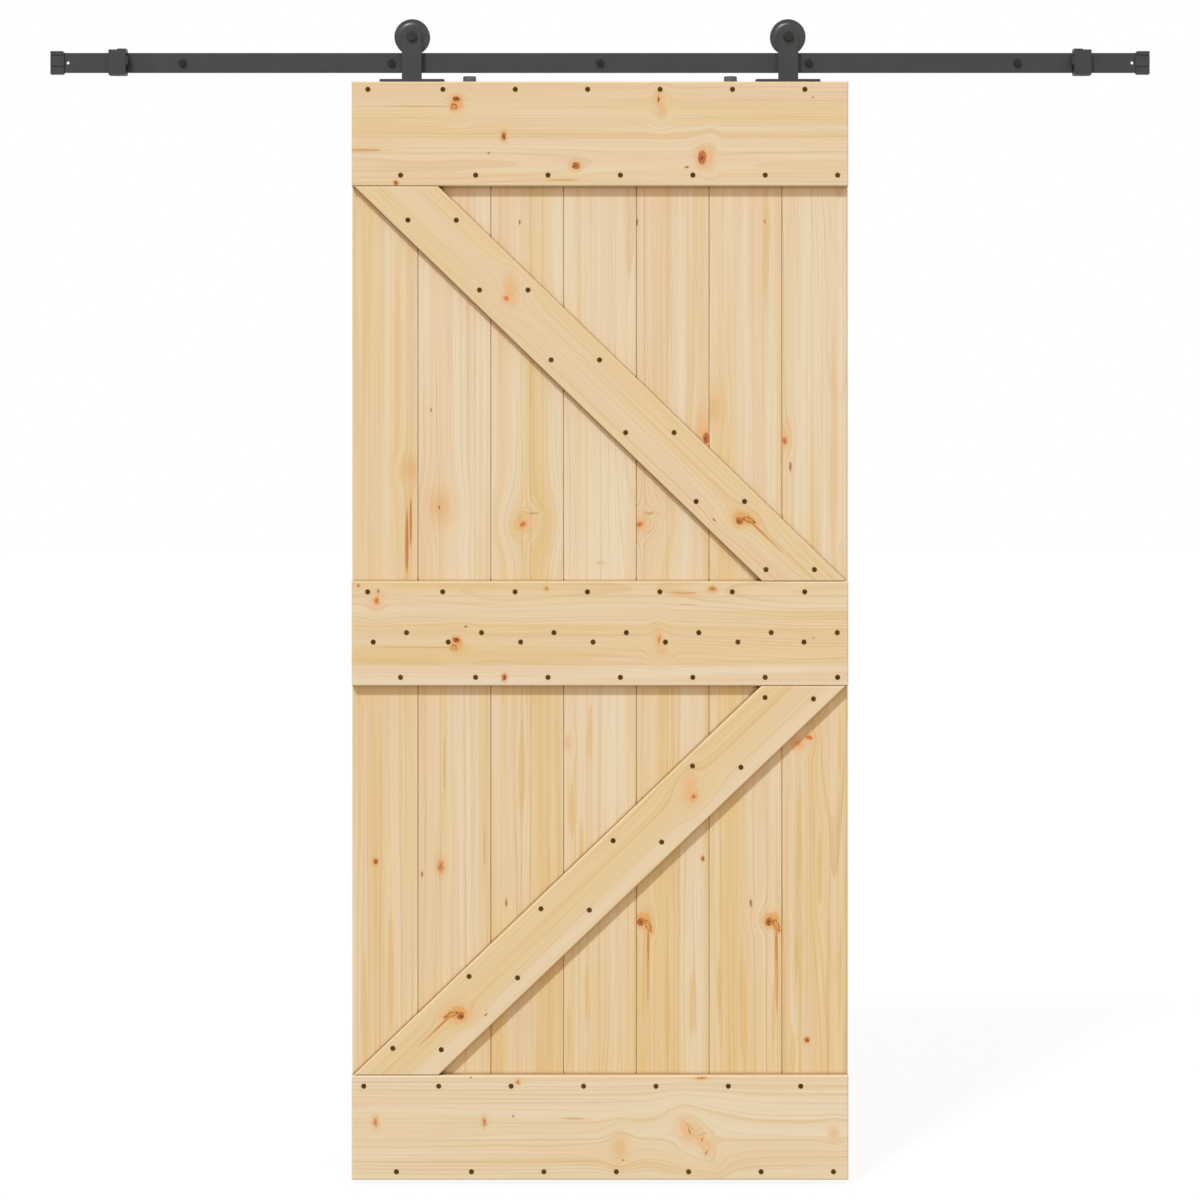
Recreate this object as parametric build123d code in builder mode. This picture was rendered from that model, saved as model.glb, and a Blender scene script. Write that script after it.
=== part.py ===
from build123d import *

import math
import os

# Sliding door: a boarded door with two diagonal braces, hung from a flat steel track.
# The frame has +X to the right seen from the front, +Y into the wall and +Z up.
# The origin is the centre of the middle wall spacer's back face, so the wall is the plane y = 0.

# Driving dimensions of the door leaf, in millimetres
DOOR_WIDTH = 950.0
DOOR_HEIGHT = 2100.0
BOARD_COUNT = 7
BOARD_THICKNESS = 18.0
EDGE_BOARD_TRIM = 13.25
TONGUE_LENGTH = 7.0
TONGUE_THICKNESS = 6.0
TONGUE_CLEARANCE = 0.2
BOARD_GAP = 0.6
BOARD_BEVEL = 1.0
EDGE_BEVEL = 2.5
RAIL_HEIGHT = 200.0
RAIL_THICKNESS = 18.0
MIDDLE_RAIL_CENTRE = 1044.5
RAIL_ROUND = 3.0
BRACE_WIDTH = 112.0
BRACE_TIP_INSET = 4.0

# Driving dimensions of the track and what holds it
TRACK_LENGTH = 2100.0
TRACK_HEIGHT = 38.0
TRACK_THICKNESS = 6.0
TRACK_EASE = 0.8
TRACK_TO_DOOR = 18.5
WALL_BOLT_COUNT = 5
WALL_BOLT_MARGIN = 250.0
WALL_BOLT_RADIUS = 4.0
WALL_BOLT_LENGTH = 80.0
WALL_BOLT_POINT = 7.0
WALL_BOLT_TIP_RADIUS = 1.0
WALL_BOLT_FLATS = 13.0
WALL_BOLT_HEAD = 5.0
HEAD_CHAMFER_ANGLE = 30.0
BOLT_CLEARANCE = 0.2
SHANK_SETBACK = 1.0
RUN_OUT_LENGTH = 2.5
RUN_OUT_DEPTH = 0.8
THREAD_RELIEF = 0.15
SPACER_LENGTH = 30.0
SPACER_RADIUS = 10.0
END_HOLE_RADIUS = 3.0
END_HOLE_MARGIN = 30.0

# Driving dimensions of the end caps, end stops and bumpers
CAP_GRIP = 23.0
CAP_WALL = 3.2
CAP_UPPER_GROOVE = 13.5
CAP_UPPER_GROOVE_WIDTH = 4.2
CAP_LOWER_GROOVE = 7.6
CAP_LOWER_GROOVE_WIDTH = 2.8
CAP_GROOVE_DEPTH = 1.8
CAP_LEAD = 2.4
CAP_ROUND = 1.0
STOP_MARGIN = 110.0
STOP_LENGTH = 33.0
STOP_HEIGHT = 48.0
STOP_LIP = 1.7
STOP_LIP_LENGTH = 15.5
STOP_FRONT_WALL = 16.0
STOP_BACK_WALL = 8.0
STOP_ROUND = 3.0
STOP_EASE = 0.6
SLIP_CLEARANCE = 0.2
BUMPER_LENGTH = 5.0
BUMPER_HEIGHT = 18.0
BUMPER_WIDTH = 12.0
BUMPER_RISE = 2.5
BUMPER_ROUND = 2.5

# Driving dimensions of the hangers, wheels and discs
HANGER_INSET = 115.0
STRAP_WIDTH = 38.0
STRAP_THICKNESS = 5.0
STRAP_EASE = 0.8
STRAP_SETBACK = 1.5
WELD_ROUND = 4.0
FOOT_LENGTH = 124.0
FOOT_DEPTH = 32.0
FOOT_THICKNESS = 5.0
FOOT_CORNER = 5.0
FOOT_SCREW_INSET = 11.0
FOOT_SCREW_SPACING = 19.0
FOOT_SCREW_RADIUS = 2.6
FOOT_SINK_RADIUS = 4.8
WHEEL_RADIUS = 34.0
TREAD_RADIUS = 30.0
TREAD_CLEARANCE = 0.3
GROOVE_CLEARANCE = 1.0
FLANGE_DRAFT = 1.2
FLANGE_WIDTH = 3.5
FLANGE_ROUND = 0.9
CROWN_RADIUS = 28.0
CROWN_FLAT_RADIUS = 21.0
HUB_RADIUS = 17.5
HUB_PROUD = 2.5
WEB_RECESS = 1.5
BEARING_RADIUS = 13.0
BEARING_RACE = 2.2
BEARING_RECESS = 0.6
AXLE_RADIUS = 5.0
AXLE_RUN = 0.05
AXLE_FLATS = 17.0
AXLE_HEAD = 6.4
AXLE_NUT = 8.0
AXLE_END = 2.0
AXLE_CHAMFER = 1.0
SIDE_CLEARANCE = 0.3
COLLAR_LENGTH = 3.2
COLLAR_RADIUS = 9.0
DISC_SPACING = 110.0
DISC_RADIUS = 12.5
DISC_HEIGHT = 11.0
DISC_ROUND = 1.0
DISC_SCREW_RADIUS = 2.6
DISC_SINK_RADIUS = 5.0

# Places worked out from the driving dimensions, from the wall towards the room
TRACK_BACK = -SPACER_LENGTH
TRACK_FRONT = TRACK_BACK - TRACK_THICKNESS
TRACK_MIDDLE = TRACK_BACK - TRACK_THICKNESS / 2
GROOVE_HALF = TRACK_THICKNESS / 2 + GROOVE_CLEARANCE
RIM_HALF = GROOVE_HALF + FLANGE_WIDTH
HUB_HALF = RIM_HALF + HUB_PROUD
STRAP_BACK = TRACK_MIDDLE - HUB_HALF - SIDE_CLEARANCE - COLLAR_LENGTH
STRAP_FRONT = STRAP_BACK - STRAP_THICKNESS
DOOR_FRONT = STRAP_FRONT - STRAP_SETBACK
BOARD_FRONT = DOOR_FRONT + RAIL_THICKNESS
BOARD_BACK = BOARD_FRONT + BOARD_THICKNESS
DOOR_MIDDLE = (DOOR_FRONT + BOARD_BACK) / 2

# Heights and widths worked out from the driving dimensions
TRACK_TOP = TRACK_HEIGHT / 2
DOOR_TOP = -TRACK_HEIGHT / 2 - TRACK_TO_DOOR
DOOR_BOTTOM = DOOR_TOP - DOOR_HEIGHT
AXLE_HEIGHT = TRACK_TOP + TREAD_CLEARANCE + TREAD_RADIUS
FOOT_TOP = DOOR_TOP + FOOT_THICKNESS
HANGER_X = DOOR_WIDTH / 2 - HANGER_INSET
DISC_X = HANGER_X - DISC_SPACING
BOARD_PITCH = (DOOR_WIDTH + 2 * EDGE_BOARD_TRIM) / BOARD_COUNT
WALL_BOLT_PITCH = (TRACK_LENGTH - 2 * WALL_BOLT_MARGIN) / (WALL_BOLT_COUNT - 1)
SIDES = (("left", -1), ("right", 1))

os.makedirs("parts", exist_ok=True)


def save(piece, name):
    piece.part.label = name
    export_step(piece.part, f"parts/{name}.step")


def facing_room(x, y, z):
    """A plane looking out of the wall, with its own x to the right and its own y up."""
    return Plane((x, y, z), x_dir=(1, 0, 0), z_dir=(0, -1, 0))


def turned(x, y, z):
    """A plane through an axis along Y: its own x is the radius and its own y runs into the wall."""
    return Plane((x, y, z), x_dir=(1, 0, 0), z_dir=(0, 0, 1))


def hex_bolt(x, y, z, flats, head, radius, shank, length, point, point_radius):
    """A bolt whose head seats at y: a chamfered hexagon, a plain shank, a run-out groove and a thread."""
    corner = flats / math.sqrt(3)
    crown = (corner - flats / 2) * math.tan(math.radians(HEAD_CHAMFER_ANGLE))
    neck = radius - RUN_OUT_DEPTH
    thread = radius - THREAD_RELIEF
    thread_start = shank + RUN_OUT_LENGTH
    axis = Axis((x, y, z), (0, 1, 0))
    with BuildPart() as bolt:
        with BuildSketch(facing_room(x, y, z)):
            RegularPolygon(flats / 2, 6, major_radius=False)
        extrude(amount=head)
        with BuildSketch(turned(x, y, z)):
            with BuildLine():
                Polyline(
                    (0, 0),
                    (corner, 0),
                    (corner, crown - head),
                    (flats / 2, -head),
                    (0, -head),
                    close=True,
                )
            make_face()
        revolve(axis=axis, mode=Mode.INTERSECT)
        with BuildSketch(turned(x, y, z)):
            with BuildLine():
                Polyline(
                    (0, 0),
                    (radius, 0),
                    (radius, shank),
                    (neck, shank),
                    (neck, thread_start),
                    (thread, thread_start),
                    (thread, length - point),
                    (point_radius, length),
                    (0, length),
                    close=True,
                )
            make_face()
        revolve(axis=axis)
    return bolt


def ring(x, y, z, outer, inner, length):
    """A plain round sleeve that starts at y and runs towards the room."""
    with BuildPart() as sleeve:
        with BuildSketch(facing_room(x, y, z)):
            Circle(outer)
            Circle(inner, mode=Mode.SUBTRACT)
        extrude(amount=length)
    return sleeve


# Boards: tongue on the right edge, groove on the left, and bevelled arrises that meet in a fine V
def board_joints():
    first = -DOOR_WIDTH / 2 + BOARD_PITCH - EDGE_BOARD_TRIM
    inner = [first + i * BOARD_PITCH for i in range(BOARD_COUNT - 1)]
    return [-DOOR_WIDTH / 2] + inner + [DOOR_WIDTH / 2]


def board(left, right, first, last):
    middle = (BOARD_FRONT + BOARD_BACK) / 2
    slot = TONGUE_THICKNESS / 2 + TONGUE_CLEARANCE
    slot_end = left + TONGUE_LENGTH + TONGUE_CLEARANCE
    tongue = TONGUE_THICKNESS / 2
    tongue_end = right + TONGUE_LENGTH
    left_bevel = EDGE_BEVEL if first else BOARD_BEVEL
    right_bevel = EDGE_BEVEL if last else BOARD_BEVEL
    outline = [(left + left_bevel, BOARD_FRONT), (left, BOARD_FRONT + left_bevel)]
    if not first:
        outline += [(left, middle - slot), (slot_end, middle - slot)]
        outline += [(slot_end, middle + slot), (left, middle + slot)]
    outline += [(left, BOARD_BACK - left_bevel), (left + left_bevel, BOARD_BACK)]
    outline += [(right - right_bevel, BOARD_BACK), (right, BOARD_BACK - right_bevel)]
    if not last:
        outline += [(right, middle + tongue), (tongue_end, middle + tongue)]
        outline += [(tongue_end, middle - tongue), (right, middle - tongue)]
    outline += [(right, BOARD_FRONT + right_bevel), (right - right_bevel, BOARD_FRONT)]
    with BuildPart() as plank:
        with BuildSketch(Plane.XY.offset(DOOR_BOTTOM)):
            with BuildLine():
                Polyline(*outline, close=True)
            make_face()
        extrude(amount=DOOR_HEIGHT)
    return plank


joints = board_joints()
for i in range(BOARD_COUNT):
    first, last = i == 0, i == BOARD_COUNT - 1
    left = joints[i] + (0 if first else BOARD_GAP / 2)
    right = joints[i + 1] - (0 if last else BOARD_GAP / 2)
    save(board(left, right, first, last), f"board_{i + 1}")

# Rails: three boards across the front, their front arrises rounded
RAIL_CENTRES = {
    "top_rail": DOOR_TOP - RAIL_HEIGHT / 2,
    "middle_rail": DOOR_BOTTOM + MIDDLE_RAIL_CENTRE,
    "bottom_rail": DOOR_BOTTOM + RAIL_HEIGHT / 2,
}


def front_edges(piece):
    return piece.faces().sort_by(Axis.Y)[0].outer_wire().edges()


for name, height in RAIL_CENTRES.items():
    with BuildPart() as rail:
        with BuildSketch(facing_room(0, BOARD_FRONT, height)):
            Rectangle(DOOR_WIDTH, RAIL_HEIGHT)
        extrude(amount=RAIL_THICKNESS)
        fillet(front_edges(rail), radius=RAIL_ROUND)
    save(rail, name)


# Braces: slanted boards between the rails, cut level where they butt against them
def brace(high, low, slant):
    span = DOOR_WIDTH - 2 * BRACE_TIP_INSET
    drop = high - low
    angle = math.atan2(drop, span) + math.asin(BRACE_WIDTH / math.hypot(span, drop))
    cut = BRACE_WIDTH / math.sin(angle) * slant
    tip = span / 2 * slant
    with BuildPart() as slanted:
        with BuildSketch(facing_room(0, BOARD_FRONT, 0)):
            with BuildLine():
                Polyline((-tip, high), (cut - tip, high), (tip, low), (tip - cut, low), close=True)
            make_face()
        extrude(amount=RAIL_THICKNESS)
        fillet(front_edges(slanted), radius=RAIL_ROUND)
    return slanted


half_rail = RAIL_HEIGHT / 2
middle = RAIL_CENTRES["middle_rail"]
save(brace(RAIL_CENTRES["top_rail"] - half_rail, middle + half_rail, 1), "upper_brace")
save(brace(middle - half_rail, RAIL_CENTRES["bottom_rail"] + half_rail, -1), "lower_brace")

# Track bar with its bolt holes and a small hole near each end
bolt_places = [(i - (WALL_BOLT_COUNT - 1) / 2) * WALL_BOLT_PITCH for i in range(WALL_BOLT_COUNT)]
end_hole = TRACK_LENGTH / 2 - END_HOLE_MARGIN
with BuildPart() as track_bar:
    with BuildSketch(facing_room(0, TRACK_BACK, 0)):
        Rectangle(TRACK_LENGTH, TRACK_HEIGHT)
        with Locations(*[(x, 0) for x in bolt_places]):
            Circle(WALL_BOLT_RADIUS + BOLT_CLEARANCE, mode=Mode.SUBTRACT)
        with Locations((-end_hole, 0), (end_hole, 0)):
            Circle(END_HOLE_RADIUS, mode=Mode.SUBTRACT)
    extrude(amount=TRACK_THICKNESS)
    chamfer(track_bar.edges().filter_by(Axis.X), length=TRACK_EASE)
save(track_bar, "track_bar")

# Wall spacers and the bolts through them
for i, x in enumerate(bolt_places):
    spacer = ring(x, 0, 0, SPACER_RADIUS, WALL_BOLT_RADIUS + BOLT_CLEARANCE, SPACER_LENGTH)
    save(spacer, f"wall_spacer_{i + 1}")
    wall_bolt = hex_bolt(
        x,
        TRACK_FRONT,
        0,
        WALL_BOLT_FLATS,
        WALL_BOLT_HEAD,
        WALL_BOLT_RADIUS,
        TRACK_THICKNESS + SPACER_LENGTH - SHANK_SETBACK,
        WALL_BOLT_LENGTH,
        WALL_BOLT_POINT,
        WALL_BOLT_TIP_RADIUS,
    )
    save(wall_bolt, f"wall_bolt_{i + 1}")


# End caps: a grooved sleeve with a closed end and a tapered mouth, pushed over the bar
def end_cap(side):
    length = CAP_GRIP + CAP_WALL
    height = TRACK_HEIGHT + 2 * CAP_WALL
    depth = TRACK_THICKNESS + 2 * CAP_WALL
    start = side * (TRACK_LENGTH / 2 - CAP_GRIP)
    with BuildPart() as cap:
        with BuildSketch(Plane.YZ.offset(start)):
            with Locations((TRACK_MIDDLE, 0)):
                Rectangle(depth, height)
            faces = (TRACK_MIDDLE - depth / 2, TRACK_MIDDLE + depth / 2)
            with Locations(*[(face, CAP_UPPER_GROOVE) for face in faces]):
                Rectangle(2 * CAP_GROOVE_DEPTH, CAP_UPPER_GROOVE_WIDTH, mode=Mode.SUBTRACT)
            with Locations(*[(face, -CAP_LOWER_GROOVE) for face in faces]):
                Rectangle(2 * CAP_GROOVE_DEPTH, CAP_LOWER_GROOVE_WIDTH, mode=Mode.SUBTRACT)
        extrude(amount=side * length)
        far_end = cap.faces().sort_by(Axis.X)[-1 if side > 0 else 0]
        fillet(far_end.edges().filter_by(Axis.Y), radius=CAP_ROUND)
        open_end = cap.faces().sort_by(Axis.X)[0 if side > 0 else -1]
        lead = open_end.edges().filter_by(Axis.Y).sort_by(Axis.Z)
        chamfer([lead[0], lead[-1]], length=CAP_LEAD)
        with BuildSketch(Plane.YZ.offset(start)):
            with Locations((TRACK_MIDDLE, 0)):
                Rectangle(TRACK_THICKNESS + 2 * SLIP_CLEARANCE, TRACK_HEIGHT + 2 * SLIP_CLEARANCE)
        extrude(amount=side * CAP_GRIP, mode=Mode.SUBTRACT)
    return cap


# End stops: a block that the bar passes through, with a raised lip on its inner half
def end_stop(side):
    outer = side * (TRACK_LENGTH / 2 - STOP_MARGIN)
    inner = outer - side * STOP_LENGTH
    depth = STOP_FRONT_WALL + TRACK_THICKNESS + STOP_BACK_WALL
    front = TRACK_FRONT - STOP_FRONT_WALL
    half = STOP_HEIGHT / 2
    lip_start = inner + side * STOP_LIP_LENGTH
    with BuildPart() as stop:
        with BuildSketch(facing_room(0, front + depth, 0)):
            with BuildLine():
                Polyline(
                    (outer, -half),
                    (outer, half),
                    (lip_start + side * STOP_LIP, half),
                    (lip_start, half + STOP_LIP),
                    (inner, half + STOP_LIP),
                    (inner, -half),
                    close=True,
                )
            make_face()
        extrude(amount=depth)
        inner_face = stop.faces().sort_by(Axis.X)[0 if side > 0 else -1]
        fillet(inner_face.edges().sort_by(Axis.Z)[0], radius=STOP_ROUND)
        chamfer(front_edges(stop), length=STOP_EASE)
        with BuildSketch(Plane.YZ.offset(inner)):
            with Locations((TRACK_MIDDLE, -SLIP_CLEARANCE / 2)):
                Rectangle(TRACK_THICKNESS + 2 * SLIP_CLEARANCE, TRACK_HEIGHT + SLIP_CLEARANCE)
        extrude(amount=side * STOP_LENGTH, mode=Mode.SUBTRACT)
    return stop


# Bumpers: a rubber button on the inner face of each stop, where the strap would strike
def stop_bumper(side):
    seat = side * (TRACK_LENGTH / 2 - STOP_MARGIN - STOP_LENGTH)
    place = (STRAP_BACK + STRAP_FRONT) / 2 + BUMPER_WIDTH / 2 - STRAP_THICKNESS / 2
    with BuildPart() as bumper:
        with BuildSketch(Plane.YZ.offset(seat)):
            with Locations((place, BUMPER_RISE)):
                RectangleRounded(BUMPER_WIDTH, BUMPER_HEIGHT, BUMPER_ROUND)
        extrude(amount=-side * BUMPER_LENGTH)
        struck = bumper.faces().sort_by(Axis.X)[0 if side > 0 else -1]
        fillet(struck.edges(), radius=BUMPER_ROUND / 2)
    return bumper


# Hangers: a strap with a round head, welded to a foot that is screwed to the door's top edge
def hanger(x):
    screw_reach = FOOT_LENGTH / 2 - FOOT_SCREW_INSET
    foot_middle = STRAP_FRONT + FOOT_DEPTH / 2
    with BuildPart() as strap:
        with BuildSketch(facing_room(x, STRAP_BACK, AXLE_HEIGHT)):
            Circle(STRAP_WIDTH / 2)
            with Locations((0, (DOOR_TOP - AXLE_HEIGHT) / 2)):
                Rectangle(STRAP_WIDTH, AXLE_HEIGHT - DOOR_TOP)
            Circle(AXLE_RADIUS + BOLT_CLEARANCE, mode=Mode.SUBTRACT)
        extrude(amount=STRAP_THICKNESS)
        fillet(front_edges(strap), radius=STRAP_EASE)
        with BuildSketch(Plane.XY.offset(DOOR_TOP)):
            with Locations((x, foot_middle)):
                RectangleRounded(FOOT_LENGTH, FOOT_DEPTH, FOOT_CORNER)
        extrude(amount=FOOT_THICKNESS)
        weld = strap.edges().filter_by(Axis.X).sort_by_distance(Vertex(x, STRAP_BACK, FOOT_TOP))[0]
        fillet(weld, radius=WELD_ROUND)
        for side in (-1, 1):
            outer = x + side * screw_reach
            inner = outer - side * FOOT_SCREW_SPACING
            with Locations((outer, foot_middle, FOOT_TOP), (inner, foot_middle, FOOT_TOP)):
                CounterSinkHole(FOOT_SCREW_RADIUS, FOOT_SINK_RADIUS, depth=FOOT_THICKNESS)
    return strap


# Wheels: a grooved rim, a crowned front and a hub that takes the bearing
def wheel(x):
    tip = GROOVE_HALF + FLANGE_DRAFT
    web = RIM_HALF - WEB_RECESS
    with BuildPart() as roller:
        with BuildSketch(turned(x, TRACK_MIDDLE, AXLE_HEIGHT)) as section:
            with BuildLine():
                crown_end = (CROWN_RADIUS, -RIM_HALF)
                crown_start = (CROWN_FLAT_RADIUS, -HUB_HALF)
                Polyline(
                    crown_end,
                    (WHEEL_RADIUS, -RIM_HALF),
                    (WHEEL_RADIUS, -tip),
                    (TREAD_RADIUS, -GROOVE_HALF),
                    (TREAD_RADIUS, GROOVE_HALF),
                    (WHEEL_RADIUS, tip),
                    (WHEEL_RADIUS, RIM_HALF),
                    (CROWN_RADIUS, RIM_HALF),
                    (CROWN_RADIUS - WEB_RECESS, web),
                    (HUB_RADIUS, web),
                    (HUB_RADIUS, HUB_HALF),
                    (BEARING_RADIUS, HUB_HALF),
                    (BEARING_RADIUS, -HUB_HALF),
                    crown_start,
                )
                TangentArc(crown_start, crown_end, tangent=(1, 0))
            make_face()
            fillet(section.vertices().group_by(Axis.X)[-1], radius=FLANGE_ROUND)
        revolve(axis=Axis((x, 0, AXLE_HEIGHT), (0, 1, 0)))
    return roller


def bearing(x):
    bore = AXLE_RADIUS + AXLE_RUN
    face = HUB_HALF
    shield = HUB_HALF - BEARING_RECESS
    with BuildPart() as race:
        with BuildSketch(turned(x, TRACK_MIDDLE, AXLE_HEIGHT)):
            with BuildLine():
                Polyline(
                    (bore, -face),
                    (bore + BEARING_RACE, -face),
                    (bore + BEARING_RACE, -shield),
                    (BEARING_RADIUS - BEARING_RACE, -shield),
                    (BEARING_RADIUS - BEARING_RACE, -face),
                    (BEARING_RADIUS, -face),
                    (BEARING_RADIUS, face),
                    (BEARING_RADIUS - BEARING_RACE, face),
                    (BEARING_RADIUS - BEARING_RACE, shield),
                    (bore + BEARING_RACE, shield),
                    (bore + BEARING_RACE, face),
                    (bore, face),
                    close=True,
                )
            make_face()
        revolve(axis=Axis((x, 0, AXLE_HEIGHT), (0, 1, 0)))
    return race


def axle_nut(x):
    with BuildPart() as nut:
        with BuildSketch(facing_room(x, NUT_BACK, AXLE_HEIGHT)):
            RegularPolygon(AXLE_FLATS / 2, 6, major_radius=False)
            Circle(AXLE_RADIUS + BOLT_CLEARANCE / 2, mode=Mode.SUBTRACT)
        extrude(amount=AXLE_NUT)
    return nut


# Discs on the door's top edge, under the bar, that keep the wheels from lifting off
def anti_jump_disc(x):
    with BuildPart() as disc:
        with BuildSketch(Plane.XY.offset(DOOR_TOP)):
            with Locations((x, DOOR_MIDDLE)):
                Circle(DISC_RADIUS)
        extrude(amount=DISC_HEIGHT)
        fillet(disc.edges(), radius=DISC_ROUND)
        with Locations((x, DOOR_MIDDLE, DOOR_TOP + DISC_HEIGHT)):
            CounterSinkHole(DISC_SCREW_RADIUS, DISC_SINK_RADIUS, depth=DISC_HEIGHT)
    return disc


NUT_BACK = TRACK_MIDDLE + HUB_HALF + SIDE_CLEARANCE + AXLE_NUT
AXLE_LENGTH = NUT_BACK + AXLE_END - STRAP_FRONT

for word, side in SIDES:
    save(end_cap(side), f"end_cap_{word}")
    save(end_stop(side), f"end_stop_{word}")
    save(stop_bumper(side), f"stop_bumper_{word}")
    x = side * HANGER_X
    save(hanger(x), f"hanger_{word}")
    save(wheel(x), f"wheel_{word}")
    save(bearing(x), f"bearing_{word}")
    axle = hex_bolt(
        x,
        STRAP_FRONT,
        AXLE_HEIGHT,
        AXLE_FLATS,
        AXLE_HEAD,
        AXLE_RADIUS,
        NUT_BACK - AXLE_NUT - STRAP_FRONT,
        AXLE_LENGTH,
        AXLE_CHAMFER,
        AXLE_RADIUS - AXLE_CHAMFER,
    )
    save(axle, f"axle_bolt_{word}")
    collar_back = STRAP_BACK + COLLAR_LENGTH
    collar_bore = AXLE_RADIUS + BOLT_CLEARANCE
    collar = ring(x, collar_back, AXLE_HEIGHT, COLLAR_RADIUS, collar_bore, COLLAR_LENGTH)
    save(collar, f"axle_collar_{word}")
    save(axle_nut(x), f"axle_nut_{word}")
    save(anti_jump_disc(side * DISC_X), f"anti_jump_disc_{word}")
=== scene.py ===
import math
from typing import NamedTuple

import bpy
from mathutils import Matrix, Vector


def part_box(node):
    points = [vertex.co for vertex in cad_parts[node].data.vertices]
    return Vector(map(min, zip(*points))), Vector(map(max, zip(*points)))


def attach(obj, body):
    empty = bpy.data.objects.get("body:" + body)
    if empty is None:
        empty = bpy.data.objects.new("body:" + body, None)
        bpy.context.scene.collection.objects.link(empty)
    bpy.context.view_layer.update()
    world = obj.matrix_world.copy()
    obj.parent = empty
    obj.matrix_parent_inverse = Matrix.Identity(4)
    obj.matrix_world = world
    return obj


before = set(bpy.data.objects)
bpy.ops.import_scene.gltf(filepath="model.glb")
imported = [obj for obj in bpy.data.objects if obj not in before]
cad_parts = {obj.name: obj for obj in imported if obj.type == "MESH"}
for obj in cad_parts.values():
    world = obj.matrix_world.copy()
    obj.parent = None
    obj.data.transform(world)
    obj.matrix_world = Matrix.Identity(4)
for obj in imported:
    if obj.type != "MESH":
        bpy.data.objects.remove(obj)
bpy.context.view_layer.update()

# Sliding door with its wall track: pine finish, screws, threads, steel, plastic and rubber.
# Lengths are in metres and MM turns millimetres into them. +X is right, +Y into the wall, +Z up.
MM = 0.001

# Places of the leaf, read from the frame
leaf_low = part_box("bottom_rail")[0]
LEAF_FRONT = leaf_low.y
LEAF_BOTTOM = leaf_low.z
BOARDS = [f"board_{i + 1}" for i in range(7)]
WALL_BOLTS = range(1, 6)
SIDES = ("left", "right")

# Camera: the picture's width at the leaf's front, and heights above the leaf's foot
VIEW_DISTANCE = 6000 * MM
VIEW_WIDTH = 2293.8 * MM
VIEW_CENTRE_HEIGHT = 1108.7 * MM
EYE_HEIGHT = 1440 * MM
SENSOR_WIDTH = 36.0

# Light: one soft key from above left, an even surround, and a pale floor that bounces little on the part
KEY_ELEVATION = 46.5
KEY_TURN = 25.0
KEY_STRENGTH = 2.0
KEY_COLOUR = (0.88, 0.99, 1.1)
KEY_ANGLE = 5.0
SURROUND_LIGHT = (0.82, 0.74, 0.63, 1.0)
FLOOR_DROP = 10 * MM
FLOOR_SIZE = 60.0
FLOOR_WHITE_SHARE = 0.9
FLOOR_MATT = 0.9
FLOOR_BOUNCE = 0.35


def shade(red, green, blue):
    """A colour given in screen values from 0 to 255, as the shader takes it."""
    def linear(value):
        part = value / 255
        return part / 12.92 if part <= 0.04045 else ((part + 0.055) / 1.055) ** 2.4
    return (linear(red), linear(green), linear(blue), 1.0)


def grey(value):
    return (value, value, value, 1.0)


def toward_key():
    """The direction from the part to the key light."""
    rise = math.radians(KEY_ELEVATION)
    turn = math.radians(KEY_TURN)
    return (-math.sin(turn) * math.cos(rise), -math.cos(turn) * math.cos(rise), math.sin(rise))


OPENNESS_SAMPLES = 4


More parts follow.
